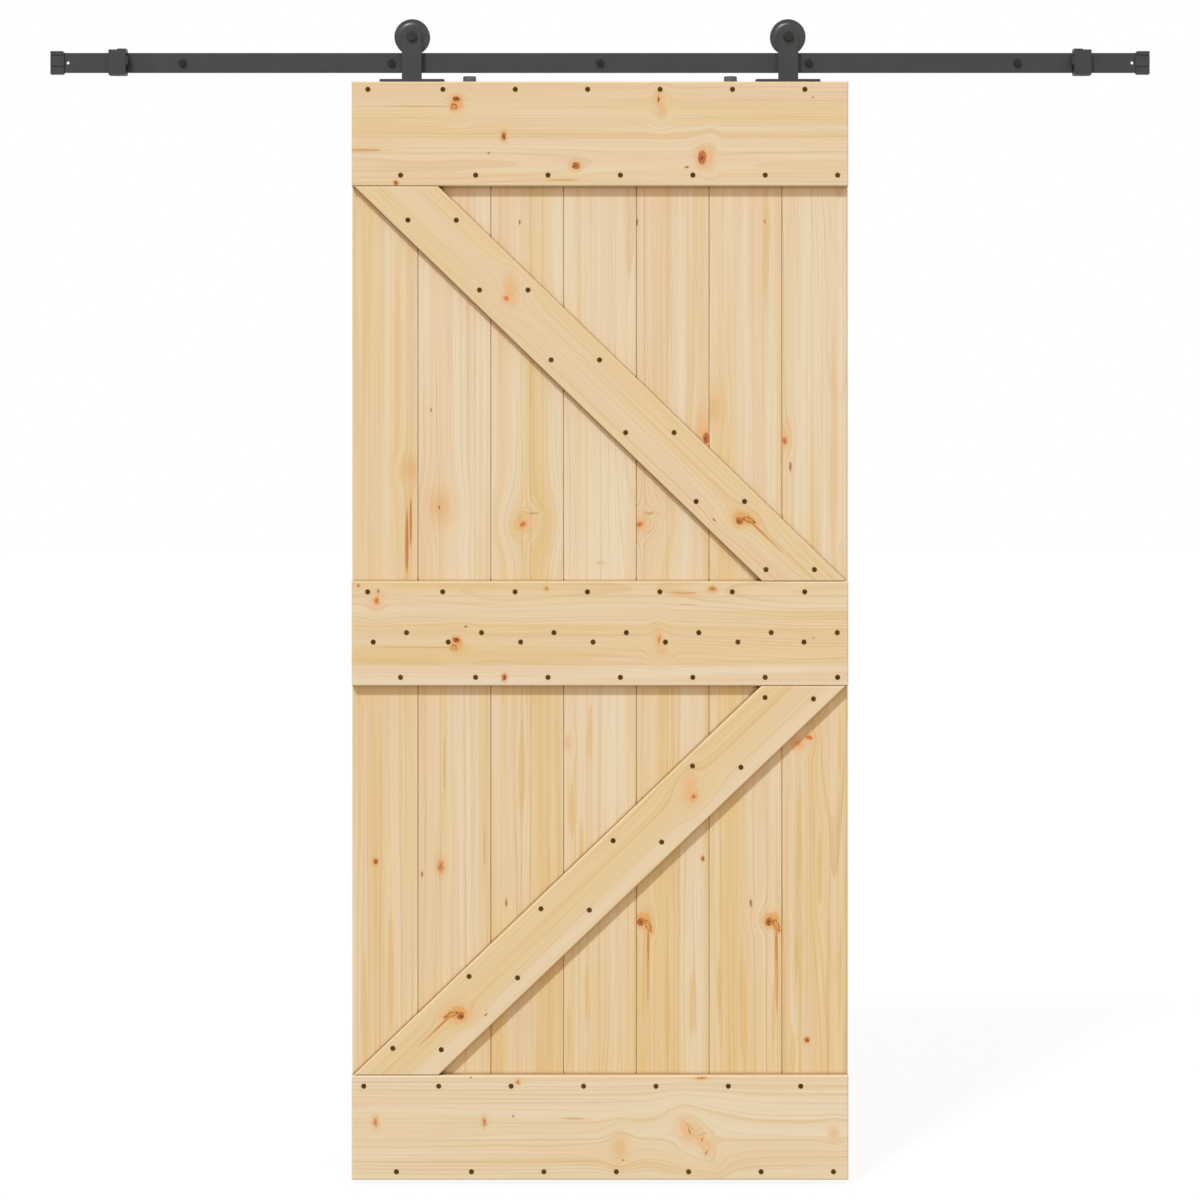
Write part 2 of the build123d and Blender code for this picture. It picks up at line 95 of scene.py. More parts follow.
class Wiring:
    """Adds nodes to one shader tree and joins them up."""

    def __init__(self, tree):
        self.tree = tree

    def node(self, kind, **settings):
        made = self.tree.nodes.new(kind)
        for name, value in settings.items():
            setattr(made, name, value)
        return made

    def feed(self, socket, value):
        """A socket takes another node's output or a plain value."""
        if isinstance(value, bpy.types.NodeSocket):
            self.tree.links.new(value, socket)
        else:
            socket.default_value = value

    def feed_all(self, made, values):
        for socket, value in zip(made.inputs, values):
            self.feed(socket, value)

    def math(self, operation, *values, clamp=False):
        made = self.node("ShaderNodeMath", operation=operation, use_clamp=clamp)
        self.feed_all(made, values)
        return made.outputs[0]

    def vector(self, operation, *values):
        made = self.node("ShaderNodeVectorMath", operation=operation)
        self.feed_all(made, values)
        return made.outputs[0]

    def length(self, value):
        made = self.node("ShaderNodeVectorMath", operation="LENGTH")
        self.feed(made.inputs[0], value)
        return made.outputs["Value"]

    def split(self, value):
        made = self.node("ShaderNodeSeparateXYZ")
        self.feed(made.inputs[0], value)
        return made.outputs

    def join(self, x, y, z):
        made = self.node("ShaderNodeCombineXYZ")
        self.feed_all(made, (x, y, z))
        return made.outputs[0]

    def ease(self, value, start, end):
        """0 at start and 1 at end, smooth between, whichever of the two is larger."""
        made = self.node("ShaderNodeMapRange", interpolation_type="SMOOTHSTEP")
        self.feed_all(made, (value, start, end, 0.0, 1.0))
        return made.outputs[0]

    def scale(self, value, low, high):
        """Takes 0 to low and 1 to high."""
        return self.math("MULTIPLY_ADD", value, high - low, low)

    def swing(self, value, reach):
        """Takes 0 to -reach and 1 to reach."""
        return self.scale(value, -reach, reach)

    def noise(self, place, detail=2.0, roughness=0.5):
        made = self.node("ShaderNodeTexNoise", noise_dimensions="3D")
        self.feed(made.inputs["Vector"], place)
        made.inputs["Scale"].default_value = 1.0
        made.inputs["Detail"].default_value = detail
        made.inputs["Roughness"].default_value = roughness
        return made.outputs[0]

    def stretched(self, place, waves, shift):
        """The place for a noise with these waves in a metre along each axis, moved by the shift."""
        return self.vector("MULTIPLY_ADD", place, waves, shift)

    def even_noise(self, place, waves, shift, **settings):
        return self.noise(self.stretched(place, (waves, waves, waves), shift), **settings)

    def mix(self, share, first, second, blend="MIX"):
        made = self.node("ShaderNodeMix", data_type="RGBA", blend_type=blend)
        self.feed(made.inputs[0], share)
        self.feed(made.inputs[6], first)
        self.feed(made.inputs[7], second)
        return made.outputs[2]

    def openness(self, reach, toward=None):
        """1 in the open and less where faces stand within reach, about the normal or another direction."""
        made = self.node("ShaderNodeAmbientOcclusion", samples=OPENNESS_SAMPLES)
        made.inputs["Distance"].default_value = reach
        if toward:
            self.feed(made.inputs["Normal"], self.join(*toward))
        return made.outputs["AO"]

    def bump(self, height, strength, distance):
        made = self.node("ShaderNodeBump")
        made.inputs["Strength"].default_value = strength
        made.inputs["Distance"].default_value = distance
        self.feed(made.inputs["Height"], height)
        return made.outputs[0]


def new_material(name):
    """A material with its principled shader and the wiring of its tree."""
    material = bpy.data.materials.new(name)
    material.use_nodes = True
    shader = material.node_tree.nodes["Principled BSDF"]
    return material, shader, Wiring(material.node_tree)


def object_place(wiring):
    return wiring.node("ShaderNodeTexCoord").outputs["Object"]


# Pine: colours of the wood, its late-wood lines and fine strands, its knots, and the shade painted on it
PALE = shade(234, 214, 183)
HONEY = shade(227, 192, 130)
ROSY = shade(232, 201, 165)
LATE_WOOD = shade(204, 156, 92)
STRAND = shade(216, 172, 104)
HALO = shade(228, 166, 94)
RIM = shade(138, 62, 14)
HEART = shade(84, 36, 10)
# Painted shade, mixed into corners and onto upward ledges
PAINTED_SHADE = shade(112, 78, 44)

# Noise in the pine: WAVES is how many lie in a metre across, through and along the grain, SPAN the values of
# the noise between which a feature comes in, REACH how far it swings, and SHIFT what sets two noises apart
SWAY_WAVES = (2.2, 2.2, 1.2)
SWAY_REACH = 22 * MM
RIPPLE_WAVES = (16, 16, 5.5)
RIPPLE_REACH = 3 * MM
FADE_WAVES = (9, 9, 1.6)
FADE_SPAN = (0.36, 0.62)
BROAD_WAVES = (21, 21, 0.55)
BROAD_SPAN = (0.3, 0.7)
ROSY_WAVES = (33, 33, 0.7)
ROSY_SPAN = (0.42, 0.66)
ROSY_SHIFT = (9, 4, 2)
STRAND_WAVES = (150, 150, 0.9)
STRAND_SPAN = (0.5, 0.66)
STRAND_SHIFT = (3, 8, 5)
FIBRE_WAVES = (420, 420, 5)
FLECK_WAVES = (760, 760, 26)
FLECK_SPAN = (0.66, 0.78)
RAGGED_WAVES = (230, 230, 180)
RAGGED_REACH = 0.55
FEATHER_WAVES = (240, 240, 7)
FEATHER_REACH = 0.9
SPECK_WAVES = (520, 520, 420)
SPECK_SPAN = (0.53, 0.63)

# Growth rings: where in a year the late wood comes in and ends, and the strength of the faintest
LATE_START_SPAN = (0.52, 0.95)
LATE_END_SPAN = (1.0, 0.95)
YEAR_CONTRAST = 2.0
FAINTEST_YEAR = 0.22
FAINTEST_STRETCH = 0.3

# What the next stave adds to its seed and honey tint, and a seed's shares through and along the grain
STAVE_SEED = 7.3
STAVE_HONEY = 0.28
SEED_SLANTS = (1.7, 0.6)

# Strength of the strands and how it falls along the grain, of fibre and flecks, and the wood's surface
STRAND_SHARE = 0.32
STRAND_FALL = 0.15
FIBRE_TONE = 0.07
FLECK_SHARE = 0.16
RING_HEIGHT = 0.5
GRAIN_BUMP = (0.25, 0.3 * MM)
GRAIN_ROUGHNESS = (0.52, 0.7)
PINE_SPECULAR = 0.3

# Painted shadow and painted shade: openness toward the key light or at a corner, and the facing of fronts,
# edges and ledges
PAINTED_SHADOW_REACH = 60 * MM
PAINTED_SHADOW_SPAN = (0.54, 0.4)
# Painted shadow: the warm tint multiplied into the wood where a ledge blocks the key light
PAINTED_SHADOW_TINT = (1.25, 1.08, 0.9, 1.0)
# Painted shade: darkening in corners and on upward-facing ledges
CORNER_REACH = 8 * MM
CORNER_SPAN = (0.8, 0.45)
CORNER_SHADE_SHARE = 0.75
LEDGE_SHADE_SHARE = 0.5
FRONT_SPAN = (-0.5, -0.9)
EDGE_SPAN = (0.5, 0.15)
UPWARD_SPAN = (0.3, 0.6)

# Parts of a knot, by the distance from its middle in its own half sizes
HALO_SPAN = (2.9, 0.7)
CORE_SPAN = (1.25, 0.7)
SPECKLED_SPAN = (1.05, 0.8)
HEART_SPAN = (0.5, 0.15)
RIM_PLACE = 0.92
RIM_SPAN = (0.28, 0.04)
CORE_RINGS = 15.0
CORE_RING_SHARE = 0.22
SWERVE = 0.78
SWERVE_FALL = 0.16


class KnotKind(NamedTuple):
    """How strongly a knot stains the wood round it, and shows its core, rim and heart.

    A feathered one is a streak, whose edge runs out along the grain.
    """
    halo: float
    core: float
    rim: float
    heart: float
    core_colour: tuple
    feathered: bool = False


DARK = KnotKind(0.65, 0.85, 0.4, 0.8, shade(200, 108, 40))
TWIN = KnotKind(0.7, 0.95, 0.5, 0.95, shade(192, 94, 26))
RED = KnotKind(0.55, 0.85, 0.3, 0.75, shade(212, 98, 44))
RING = KnotKind(0.6, 0.85, 0.85, 0.0, shade(222, 144, 62))
SOFT = KnotKind(0.5, 0.6, 0.1, 0.5, shade(222, 138, 74))
EMBER = KnotKind(0.5, 0.85, 0.0, 0.25, shade(222, 114, 54))
GLOW = KnotKind(0.25, 0.62, 0.0, 0.0, shade(222, 158, 76))
BLUSH = KnotKind(0.25, 0.5, 0.0, 0.0, shade(238, 182, 126))
SWELL = KnotKind(0.0, 0.0, 0.0, 0.0, shade(226, 188, 130))
WEAK = KnotKind(0.26, 0.24, 0.0, 0.0, shade(222, 164, 102))
FLAW = KnotKind(0.2, 0.45, 0.0, 0.0, shade(178, 128, 76))
LINE = KnotKind(0.0, 0.4, 0.0, 0.0, shade(190, 144, 92), True)
PIN = KnotKind(0.2, 0.7, 0.0, 0.45, shade(142, 94, 46))
RESIN = KnotKind(0.3, 0.8, 0.15, 0.0, shade(190, 112, 42), True)
STREAK = KnotKind(0.25, 0.6, 0.1, 0.0, shade(206, 142, 66), True)
BAND = KnotKind(0.0, 0.42, 0.0, 0.0, shade(224, 184, 116), True)
FLAME = KnotKind(0.0, 0.55, 0.0, 0.0, shade(223, 179, 108), True)


class Knot(NamedTuple):
    """A knot's place from the leaf's middle and foot, and its half sizes across and along the grain, in mm.

    It leans from the grain by an angle in degrees.
    """
    x: float
    height: float
    across: float
    along: float
    kind: KnotKind
    lean: float = 0.0


def new_group(name, inputs, outputs):
    """An empty shader group, its wiring, and its input and output nodes."""
    group = bpy.data.node_groups.new(name, "ShaderNodeTree")
    for socket, kind in inputs:
        group.interface.new_socket(name=socket, in_out="INPUT", socket_type=kind)
    for socket, kind in outputs:
        group.interface.new_socket(name=socket, in_out="OUTPUT", socket_type=kind)
    wiring = Wiring(group)
    return group, wiring, wiring.node("NodeGroupInput").outputs, wiring.node("NodeGroupOutput").inputs


NUMBER = "NodeSocketFloat"
COLOUR = "NodeSocketColor"


def knot_reach_group():
    """Distance from a knot in its own half sizes, and how far the grain swerves round it."""
    wants = ("Across", "Along", "Knot Across", "Knot Along", "Lean Sine", "Lean Cosine")
    wants += ("Half Across", "Half Along", "Ragged")
    group, wiring, given, made = new_group(
        "knot_reach",
        [(name, NUMBER) for name in wants],
        [("Reach", NUMBER), ("Swerve", NUMBER)],
    )
    aside = wiring.math("SUBTRACT", given["Across"], given["Knot Across"])
    beyond = wiring.math("SUBTRACT", given["Along"], given["Knot Along"])
    sine = given["Lean Sine"]
    cosine = given["Lean Cosine"]
    wide = wiring.math("MULTIPLY", beyond, sine)
    wide = wiring.math("SUBTRACT", wiring.math("MULTIPLY", aside, cosine), wide)
    wide = wiring.math("DIVIDE", wide, given["Half Across"])
    tall = wiring.math("MULTIPLY_ADD", aside, sine, wiring.math("MULTIPLY", beyond, cosine))
    tall = wiring.math("DIVIDE", tall, given["Half Along"])
    square = wiring.math("MULTIPLY_ADD", wide, wide, wiring.math("MULTIPLY", tall, tall))
    plain = wiring.math("SQRT", square)
    wiring.feed(made["Reach"], wiring.math("MULTIPLY_ADD", plain, given["Ragged"], plain))
    fall = wiring.math("EXPONENT", wiring.math("MULTIPLY", square, -SWERVE_FALL))
    swerve = wiring.math("MULTIPLY", wiring.math("MULTIPLY", aside, fall), -SWERVE)
    wiring.feed(made["Swerve"], swerve)
    return group


def knot_paint_group():
    """Stains a colour with one knot's halo, core, rim and heart."""
    strengths = ("Halo", "Core", "Rim", "Heart")
    group, wiring, given, made = new_group(
        "knot_paint",
        [("Colour", COLOUR), ("Reach", NUMBER), ("Speck", NUMBER), ("Core Colour", COLOUR)]
        + [(name, NUMBER) for name in strengths],
        [("Colour", COLOUR)],
    )
    reach = given["Reach"]
    colour = given["Colour"]
    halo = wiring.math("MULTIPLY", wiring.ease(reach, *HALO_SPAN), given["Halo"])
    colour = wiring.mix(halo, colour, HALO)
    core = wiring.math("MULTIPLY", wiring.ease(reach, *CORE_SPAN), given["Core"])
    colour = wiring.mix(core, colour, given["Core Colour"])
    ring = wiring.math("SINE", wiring.math("MULTIPLY", reach, CORE_RINGS))
    ring = wiring.swing(ring, CORE_RING_SHARE)
    ring = wiring.math("MULTIPLY", ring, wiring.math("MULTIPLY", core, given["Rim"]), clamp=True)
    colour = wiring.mix(ring, colour, HEART)
    edge = wiring.math("ABSOLUTE", wiring.math("SUBTRACT", reach, RIM_PLACE))
    rim = wiring.math("MULTIPLY", wiring.ease(edge, *RIM_SPAN), given["Rim"])
    colour = wiring.mix(rim, colour, RIM)
    specks = wiring.math("MULTIPLY", wiring.ease(reach, *SPECKLED_SPAN), given["Speck"])
    heart = wiring.math("MAXIMUM", wiring.ease(reach, *HEART_SPAN), specks)
    wiring.feed(made["Colour"], wiring.mix(wiring.math("MULTIPLY", heart, given["Heart"]), colour, HEART))
    return group


KNOT_REACH = knot_reach_group()
KNOT_PAINT = knot_paint_group()


class Pine(NamedTuple):
    """The figure of one piece of pine.

    honey and rosy lean its tint, pith_across and pith_depth place the heart of the tree beside and
    behind the face, rise tilts it along the piece, spacing is the growth rings' and figure their strength.
    foot_honey darkens it towards its foot, and bands is the strength of its broad streaks. Past the glue
    line, measured across the piece, another stave begins. Lengths are in mm.
    """
    seed: float
    honey: float
    rosy: float
    pith_across: float
    pith_depth: float
    rise: float
    spacing: float
    figure: float
    foot_honey: float = 0.0
    glue_line: float = None
    bands: float = 0.85


def grain_turn(start, end):
    """The turn about Y that takes the direction from start to end, in x and z, to straight up."""
    return math.atan2(start[0] - end[0], end[1] - start[1])


def pine(name, node, turn, wood, knots):
    """Pine with growth rings, streaks, fibre and knots. The grain of the node runs along its turned Z."""
    material, shader, wiring = new_material(name)
    low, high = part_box(node)
    centre = (low + high) / 2
    centred = wiring.vector("SUBTRACT", object_place(wiring), tuple(centre))
    turned = wiring.node("ShaderNodeVectorRotate", rotation_type="Y_AXIS")
    wiring.feed(turned.inputs["Vector"], centred)
    turned.inputs["Angle"].default_value = turn
    place = turned.outputs[0]
    across, depth, along = wiring.split(place)

    # Knots: each one's reach, and the swerve of the grain round all of them
    ragged = wiring.noise(wiring.stretched(place, RAGGED_WAVES, (wood.seed, 0, 0)), detail=3.0)
    ragged = wiring.swing(ragged, RAGGED_REACH)
    feather = wiring.noise(wiring.stretched(place, FEATHER_WAVES, (wood.seed, 0, 0)))
    feather = wiring.swing(feather, FEATHER_REACH)
    reaches = []
    bent = across
    for knot in knots:
        side = knot.x * MM - centre.x
        up = LEAF_BOTTOM + knot.height * MM - centre.z
        reach = wiring.node("ShaderNodeGroup", node_tree=KNOT_REACH)
        wiring.feed_all(reach, (
            across,
            along,
            side * math.cos(turn) + up * math.sin(turn),
            up * math.cos(turn) - side * math.sin(turn),
            math.sin(math.radians(knot.lean)),
            math.cos(math.radians(knot.lean)),
            knot.across * MM,
            knot.along * MM,
            feather if knot.kind.feathered else ragged,
        ))
        reaches.append(reach.outputs["Reach"])
        bent = wiring.math("ADD", bent, reach.outputs["Swerve"])

    # Past a glue line the figure and the tint jump
    if wood.glue_line is None:
        stave = 0.0
        seed = wood.seed
    else:
        stave = wiring.math("GREATER_THAN", across, wood.glue_line * MM)
        seed = wiring.math("MULTIPLY_ADD", stave, STAVE_SEED, wood.seed)
    grain = wiring.join(bent, depth, along)
    shift = wiring.join(seed, *[wiring.math("MULTIPLY", seed, slant) for slant in SEED_SLANTS])

    # Growth rings: distance from a wandering pith, as rings with a soft start and a crisp late edge
    sway = wiring.noise(wiring.stretched(grain, SWAY_WAVES, shift), detail=1.0)
    ripple = wiring.noise(wiring.stretched(grain, RIPPLE_WAVES, shift), detail=1.0)
    wander = wiring.math("ADD", wiring.swing(sway, SWAY_REACH), wiring.swing(ripple, RIPPLE_REACH))
    ring_x = wiring.math("ADD", wiring.math("SUBTRACT", bent, wood.pith_across * MM), wander)
    ring_y = wiring.math("ADD", wiring.math("MULTIPLY_ADD", along, wood.rise, depth), -wood.pith_depth * MM)
    ring_y = wiring.math("ADD", ring_y, wander)
    square = wiring.math("MULTIPLY_ADD", ring_x, ring_x, wiring.math("MULTIPLY", ring_y, ring_y))
    ring = wiring.math("DIVIDE", wiring.math("SQRT", square), wood.spacing * MM)
    year = wiring.math("FLOOR", ring)
    part = wiring.math("FRACT", ring)
    late = wiring.math("MULTIPLY", wiring.ease(part, *LATE_START_SPAN), wiring.ease(part, *LATE_END_SPAN))
    whim = wiring.node("ShaderNodeTexWhiteNoise", noise_dimensions="1D")
    wiring.feed(whim.inputs["W"], wiring.math("ADD", year, seed))
    strength = wiring.math("POWER", whim.outputs["Value"], YEAR_CONTRAST)
    fade = wiring.ease(wiring.noise(wiring.stretched(grain, FADE_WAVES, shift)), *FADE_SPAN)
    lines = wiring.math("MULTIPLY", late, wiring.scale(strength, FAINTEST_YEAR, 1.0))
    lines = wiring.math("MULTIPLY", lines, wiring.scale(fade, FAINTEST_STRETCH, 1.0))

    # Broad streaks, fine strands, fibre and short dark flecks, all drawn out along the grain
    broad = wiring.noise(wiring.stretched(grain, BROAD_WAVES, shift), detail=2.0, roughness=0.6)
    broad = wiring.ease(broad, *BROAD_SPAN)
    rosy = wiring.noise(wiring.stretched(grain, ROSY_WAVES, wiring.vector("ADD", shift, ROSY_SHIFT)))
    rosy = wiring.ease(rosy, *ROSY_SPAN)
    strand_shift = wiring.vector("ADD", shift, STRAND_SHIFT)
    strand = wiring.noise(wiring.stretched(grain, STRAND_WAVES, strand_shift), detail=3.0)
    to_foot = wiring.math("MULTIPLY_ADD", along, -STRAND_FALL, STRAND_SHARE)
    strand = wiring.math("MULTIPLY", wiring.ease(strand, *STRAND_SPAN), to_foot)
    fibre = wiring.noise(wiring.stretched(grain, FIBRE_WAVES, shift), detail=3.0, roughness=0.6)
    fleck = wiring.noise(wiring.stretched(grain, FLECK_WAVES, shift), detail=1.0)
    fleck = wiring.ease(fleck, *FLECK_SPAN)

    # Colour: pale to honey, a rosy blush, strands, late wood, fibre, flecks, then the knots
    honey = wiring.math("MULTIPLY_ADD", broad, wood.bands, wood.honey - wood.bands / 2)
    honey = wiring.math("MULTIPLY_ADD", along, -wood.foot_honey, honey)
    honey = wiring.math("MULTIPLY_ADD", stave, STAVE_HONEY, honey, clamp=True)
    colour = wiring.mix(honey, PALE, HONEY)
    colour = wiring.mix(wiring.math("MULTIPLY", rosy, wood.rosy), colour, ROSY)
    colour = wiring.mix(strand, colour, STRAND)
    colour = wiring.mix(wiring.math("MULTIPLY", lines, wood.figure), colour, LATE_WOOD)
    tone = wiring.scale(fibre, 1 - FIBRE_TONE, 1 + FIBRE_TONE)
    colour = wiring.mix(1.0, colour, wiring.join(tone, tone, tone), blend="MULTIPLY")
    colour = wiring.mix(wiring.math("MULTIPLY", fleck, FLECK_SHARE), colour, LATE_WOOD)
    speck = wiring.noise(wiring.stretched(place, SPECK_WAVES, (0, 0, wood.seed)), detail=1.0)
    speck = wiring.ease(speck, *SPECK_SPAN)
    for knot, reach in zip(knots, reaches):
        kind = knot.kind
        # A swell bends the grain and leaves no stain
        if kind is SWELL:
            continue
        paint = wiring.node("ShaderNodeGroup", node_tree=KNOT_PAINT)
        wiring.feed_all(
            paint, (colour, reach, speck, kind.core_colour, kind.halo, kind.core, kind.rim, kind.heart)
        )
        colour = paint.outputs["Colour"]

    # Painted shadow: a warmer tone multiplied into the wood where a ledge would shade it from the key light,
    # following that light's cast shadow
    facing = wiring.split(wiring.node("ShaderNodeTexCoord").outputs["Normal"])
    painted_shadow = wiring.ease(wiring.openness(PAINTED_SHADOW_REACH, toward_key()), *PAINTED_SHADOW_SPAN)
    painted_shadow = wiring.math("MULTIPLY", painted_shadow, wiring.ease(facing[1], *FRONT_SPAN))
    colour = wiring.mix(painted_shadow, colour, PAINTED_SHADOW_TINT, blend="MULTIPLY")

    # Painted shade: darkens the corners where two pieces meet, and dulls the ledges that face up
    corner_shade = wiring.ease(wiring.openness(CORNER_REACH), *CORNER_SPAN)
    colour = wiring.mix(wiring.math("MULTIPLY", corner_shade, CORNER_SHADE_SHARE), colour, PAINTED_SHADE)
    # Painted shade on upward ledges, so that they look no brighter than the fronts and bounce less light onto
    # the boards
    edge = wiring.ease(wiring.math("ABSOLUTE", facing[1]), *EDGE_SPAN)
    ledge_shade = wiring.math("MULTIPLY", edge, wiring.ease(facing[2], *UPWARD_SPAN))
    colour = wiring.mix(wiring.math("MULTIPLY", ledge_shade, LEDGE_SHADE_SHARE), colour, PAINTED_SHADE)

    wiring.feed(shader.inputs["Base Color"], colour)
    wiring.feed(shader.inputs["Roughness"], wiring.scale(fibre, *GRAIN_ROUGHNESS))
    height = wiring.math("MULTIPLY_ADD", lines, RING_HEIGHT, fibre)
    wiring.feed(shader.inputs["Normal"], wiring.bump(height, *GRAIN_BUMP))
    shader.inputs["Specular IOR Level"].default_value = PINE_SPECULAR
    return material


# Groups of knots that recur
def rail_knots(height):
    """A ring at this height and a dark knot above it in one glow, with a streak to the left."""
    return (
        Knot(-272, height + 6, 13, 10, GLOW),
        Knot(-275, height + 14.5, 5, 6, TWIN),
        Knot(-279.5, height, 5.5, 5.5, RING),
        Knot(-283, height - 3, 2.4, 2.2, EMBER),
        Knot(-345, height + 0.5, 1.0, 68, STREAK),
    )


def brace_knots(side, ember, twin):
    """A red knot and a twin knot at these heights. side is 1 where the brace falls to the right, else -1."""
    return (
        Knot(-172 * side, ember + 3, 10, 13, BLUSH, 40 * side),
        Knot(-179 * side, ember, 4, 4.5, EMBER),
        Knot(-172 * side, ember + 28, 8, 14, BLUSH, 40 * side),
        Knot(-174 * side, ember + 14, 16, 20, SWELL),
        Knot(272 * side, twin + 6, 12, 17, GLOW, -40 * side),
        Knot(267 * side, twin, 6.5, 7, TWIN),
        Knot(284 * side, twin + 2, 4.6, 11.5, RING, -23 * side),
        Knot(304 * side, twin - 17, 1.8, 26, RESIN),
        Knot(314 * side, twin - 27, 1.5, 44, STREAK),
        Knot(218 * side, twin + 2, 1.6, 4, PIN),
    )


def ember_knots(x):
    """A red knot at x in a blush, a flaw across the grain beside it, and grain that swells round both."""
    return (
        Knot(x + 2.5, 1252, 12, 13, BLUSH, 40),
        Knot(x, 1253, 4.4, 6, EMBER, 60),
        Knot(x + 10, 1260, 22, 26, SWELL),
        Knot(x + 19, 1274, 9.5, 2.4, FLAW),
    )


def twin_knots(x):
    """A dark knot at x and a leaning ring beside it, with a glow above them and a streak down the grain."""
    return (
        Knot(x + 5, 497, 14, 11, GLOW),
        Knot(x, 491, 7, 7.5, TWIN),
        Knot(x + 13, 484.5, 5, 11, RING, -23),
        Knot(x + 18, 474, 3, 3, EMBER),
        Knot(x + 13, 445, 2.2, 32, RESIN),
        Knot(x + 13, 405, 2.4, 75, STREAK),
    )


# Knots of each piece, placed from the leaf's middle and foot
TOP_RAIL_KNOTS = rail_knots(2052) + (
    Knot(-184, 1995, 7, 4, DARK),
    Knot(-213, 1963, 1.8, 2.2, PIN),
    Knot(-46, 1939, 6, 7, DARK),
    Knot(-390, 1906, 4, 3.5, DARK),
    Knot(-449, 1969, 2.5, 26, STREAK),
    Knot(-72, 1911, 1.2, 26, STREAK),
    Knot(112, 2070, 14, 6, BLUSH),
    Knot(112, 2066, 5, 1.8, DARK),
    Knot(118, 2046, 12, 9, SWELL),
    Knot(120, 2047, 9, 4.5, BLUSH),
    Knot(195, 1954.5, 13, 7.5, RED),
    Knot(212, 1956, 15, 5, BLUSH),
    Knot(166, 1936, 2, 4, PIN),
    Knot(407, 2070, 2, 1.6, PIN),
)
MIDDLE_RAIL_KNOTS = rail_knots(1018) + (
    Knot(-462, 1136, 3, 2, PIN),
    Knot(-427, 1106, 13, 9, BLUSH),
    Knot(-427, 1107, 5, 4, EMBER),
    Knot(-424, 1126, 4, 2, PIN),
    Knot(-102, 1131, 3.5, 3.5, SOFT),
    Knot(-257, 1058, 2.2, 3, PIN),
    Knot(-183, 961, 6, 4, DARK),
    Knot(215, 1130, 5, 7, SOFT),
    Knot(162, 1122, 2, 20, STREAK),
    Knot(111, 1036, 14, 5.5, BLUSH),
    Knot(113, 1033, 6, 2, SOFT, 15),
    Knot(117, 1014, 12, 10, SWELL),
    Knot(119, 1013, 8, 5, BLUSH),
    Knot(408, 1036, 1.6, 1.6, PIN),
    Knot(169, 1100, 0.9, 18, STREAK),
    Knot(-300, 1003, 17, 300, BAND),
)
BOTTOM_RAIL_KNOTS = (
    Knot(-429, 110, 8, 4, SOFT),
    Knot(-221, 111, 7, 3.5, SOFT),
    Knot(-166, 122, 2.6, 1.6, PIN),
    Knot(-157, 187, 4, 3.5, SOFT),
    Knot(-247, 196, 1.6, 2.4, PIN),
    Knot(-47, 117, 1.2, 15, STREAK),
    Knot(168, 92, 12, 19, BLUSH, 60),
    Knot(171, 93, 1.2, 7, PIN, 70),
    Knot(167, 106, 0.8, 13, FLAW, 40),
    Knot(200, 67, 8, 23, BLUSH, 62),
    Knot(195, 77, 1.0, 4.5, PIN, 100),
    Knot(197, 88, 0.9, 7, FLAW, -20),
    Knot(203, 52, 1.4, 5, PIN, 120),
    Knot(186, 76, 26, 30, SWELL),
    Knot(194, 195, 2.5, 9, SOFT),
    Knot(44, 38, 1.8, 2.4, PIN),
    Knot(38, 62, 17, 11, WEAK),
    Knot(447, 89, 9, 8, WEAK),
)
UPPER_BRACE_KNOTS = brace_knots(1, 1685, 1260)
LOWER_BRACE_KNOTS = brace_knots(-1, 733, 314)
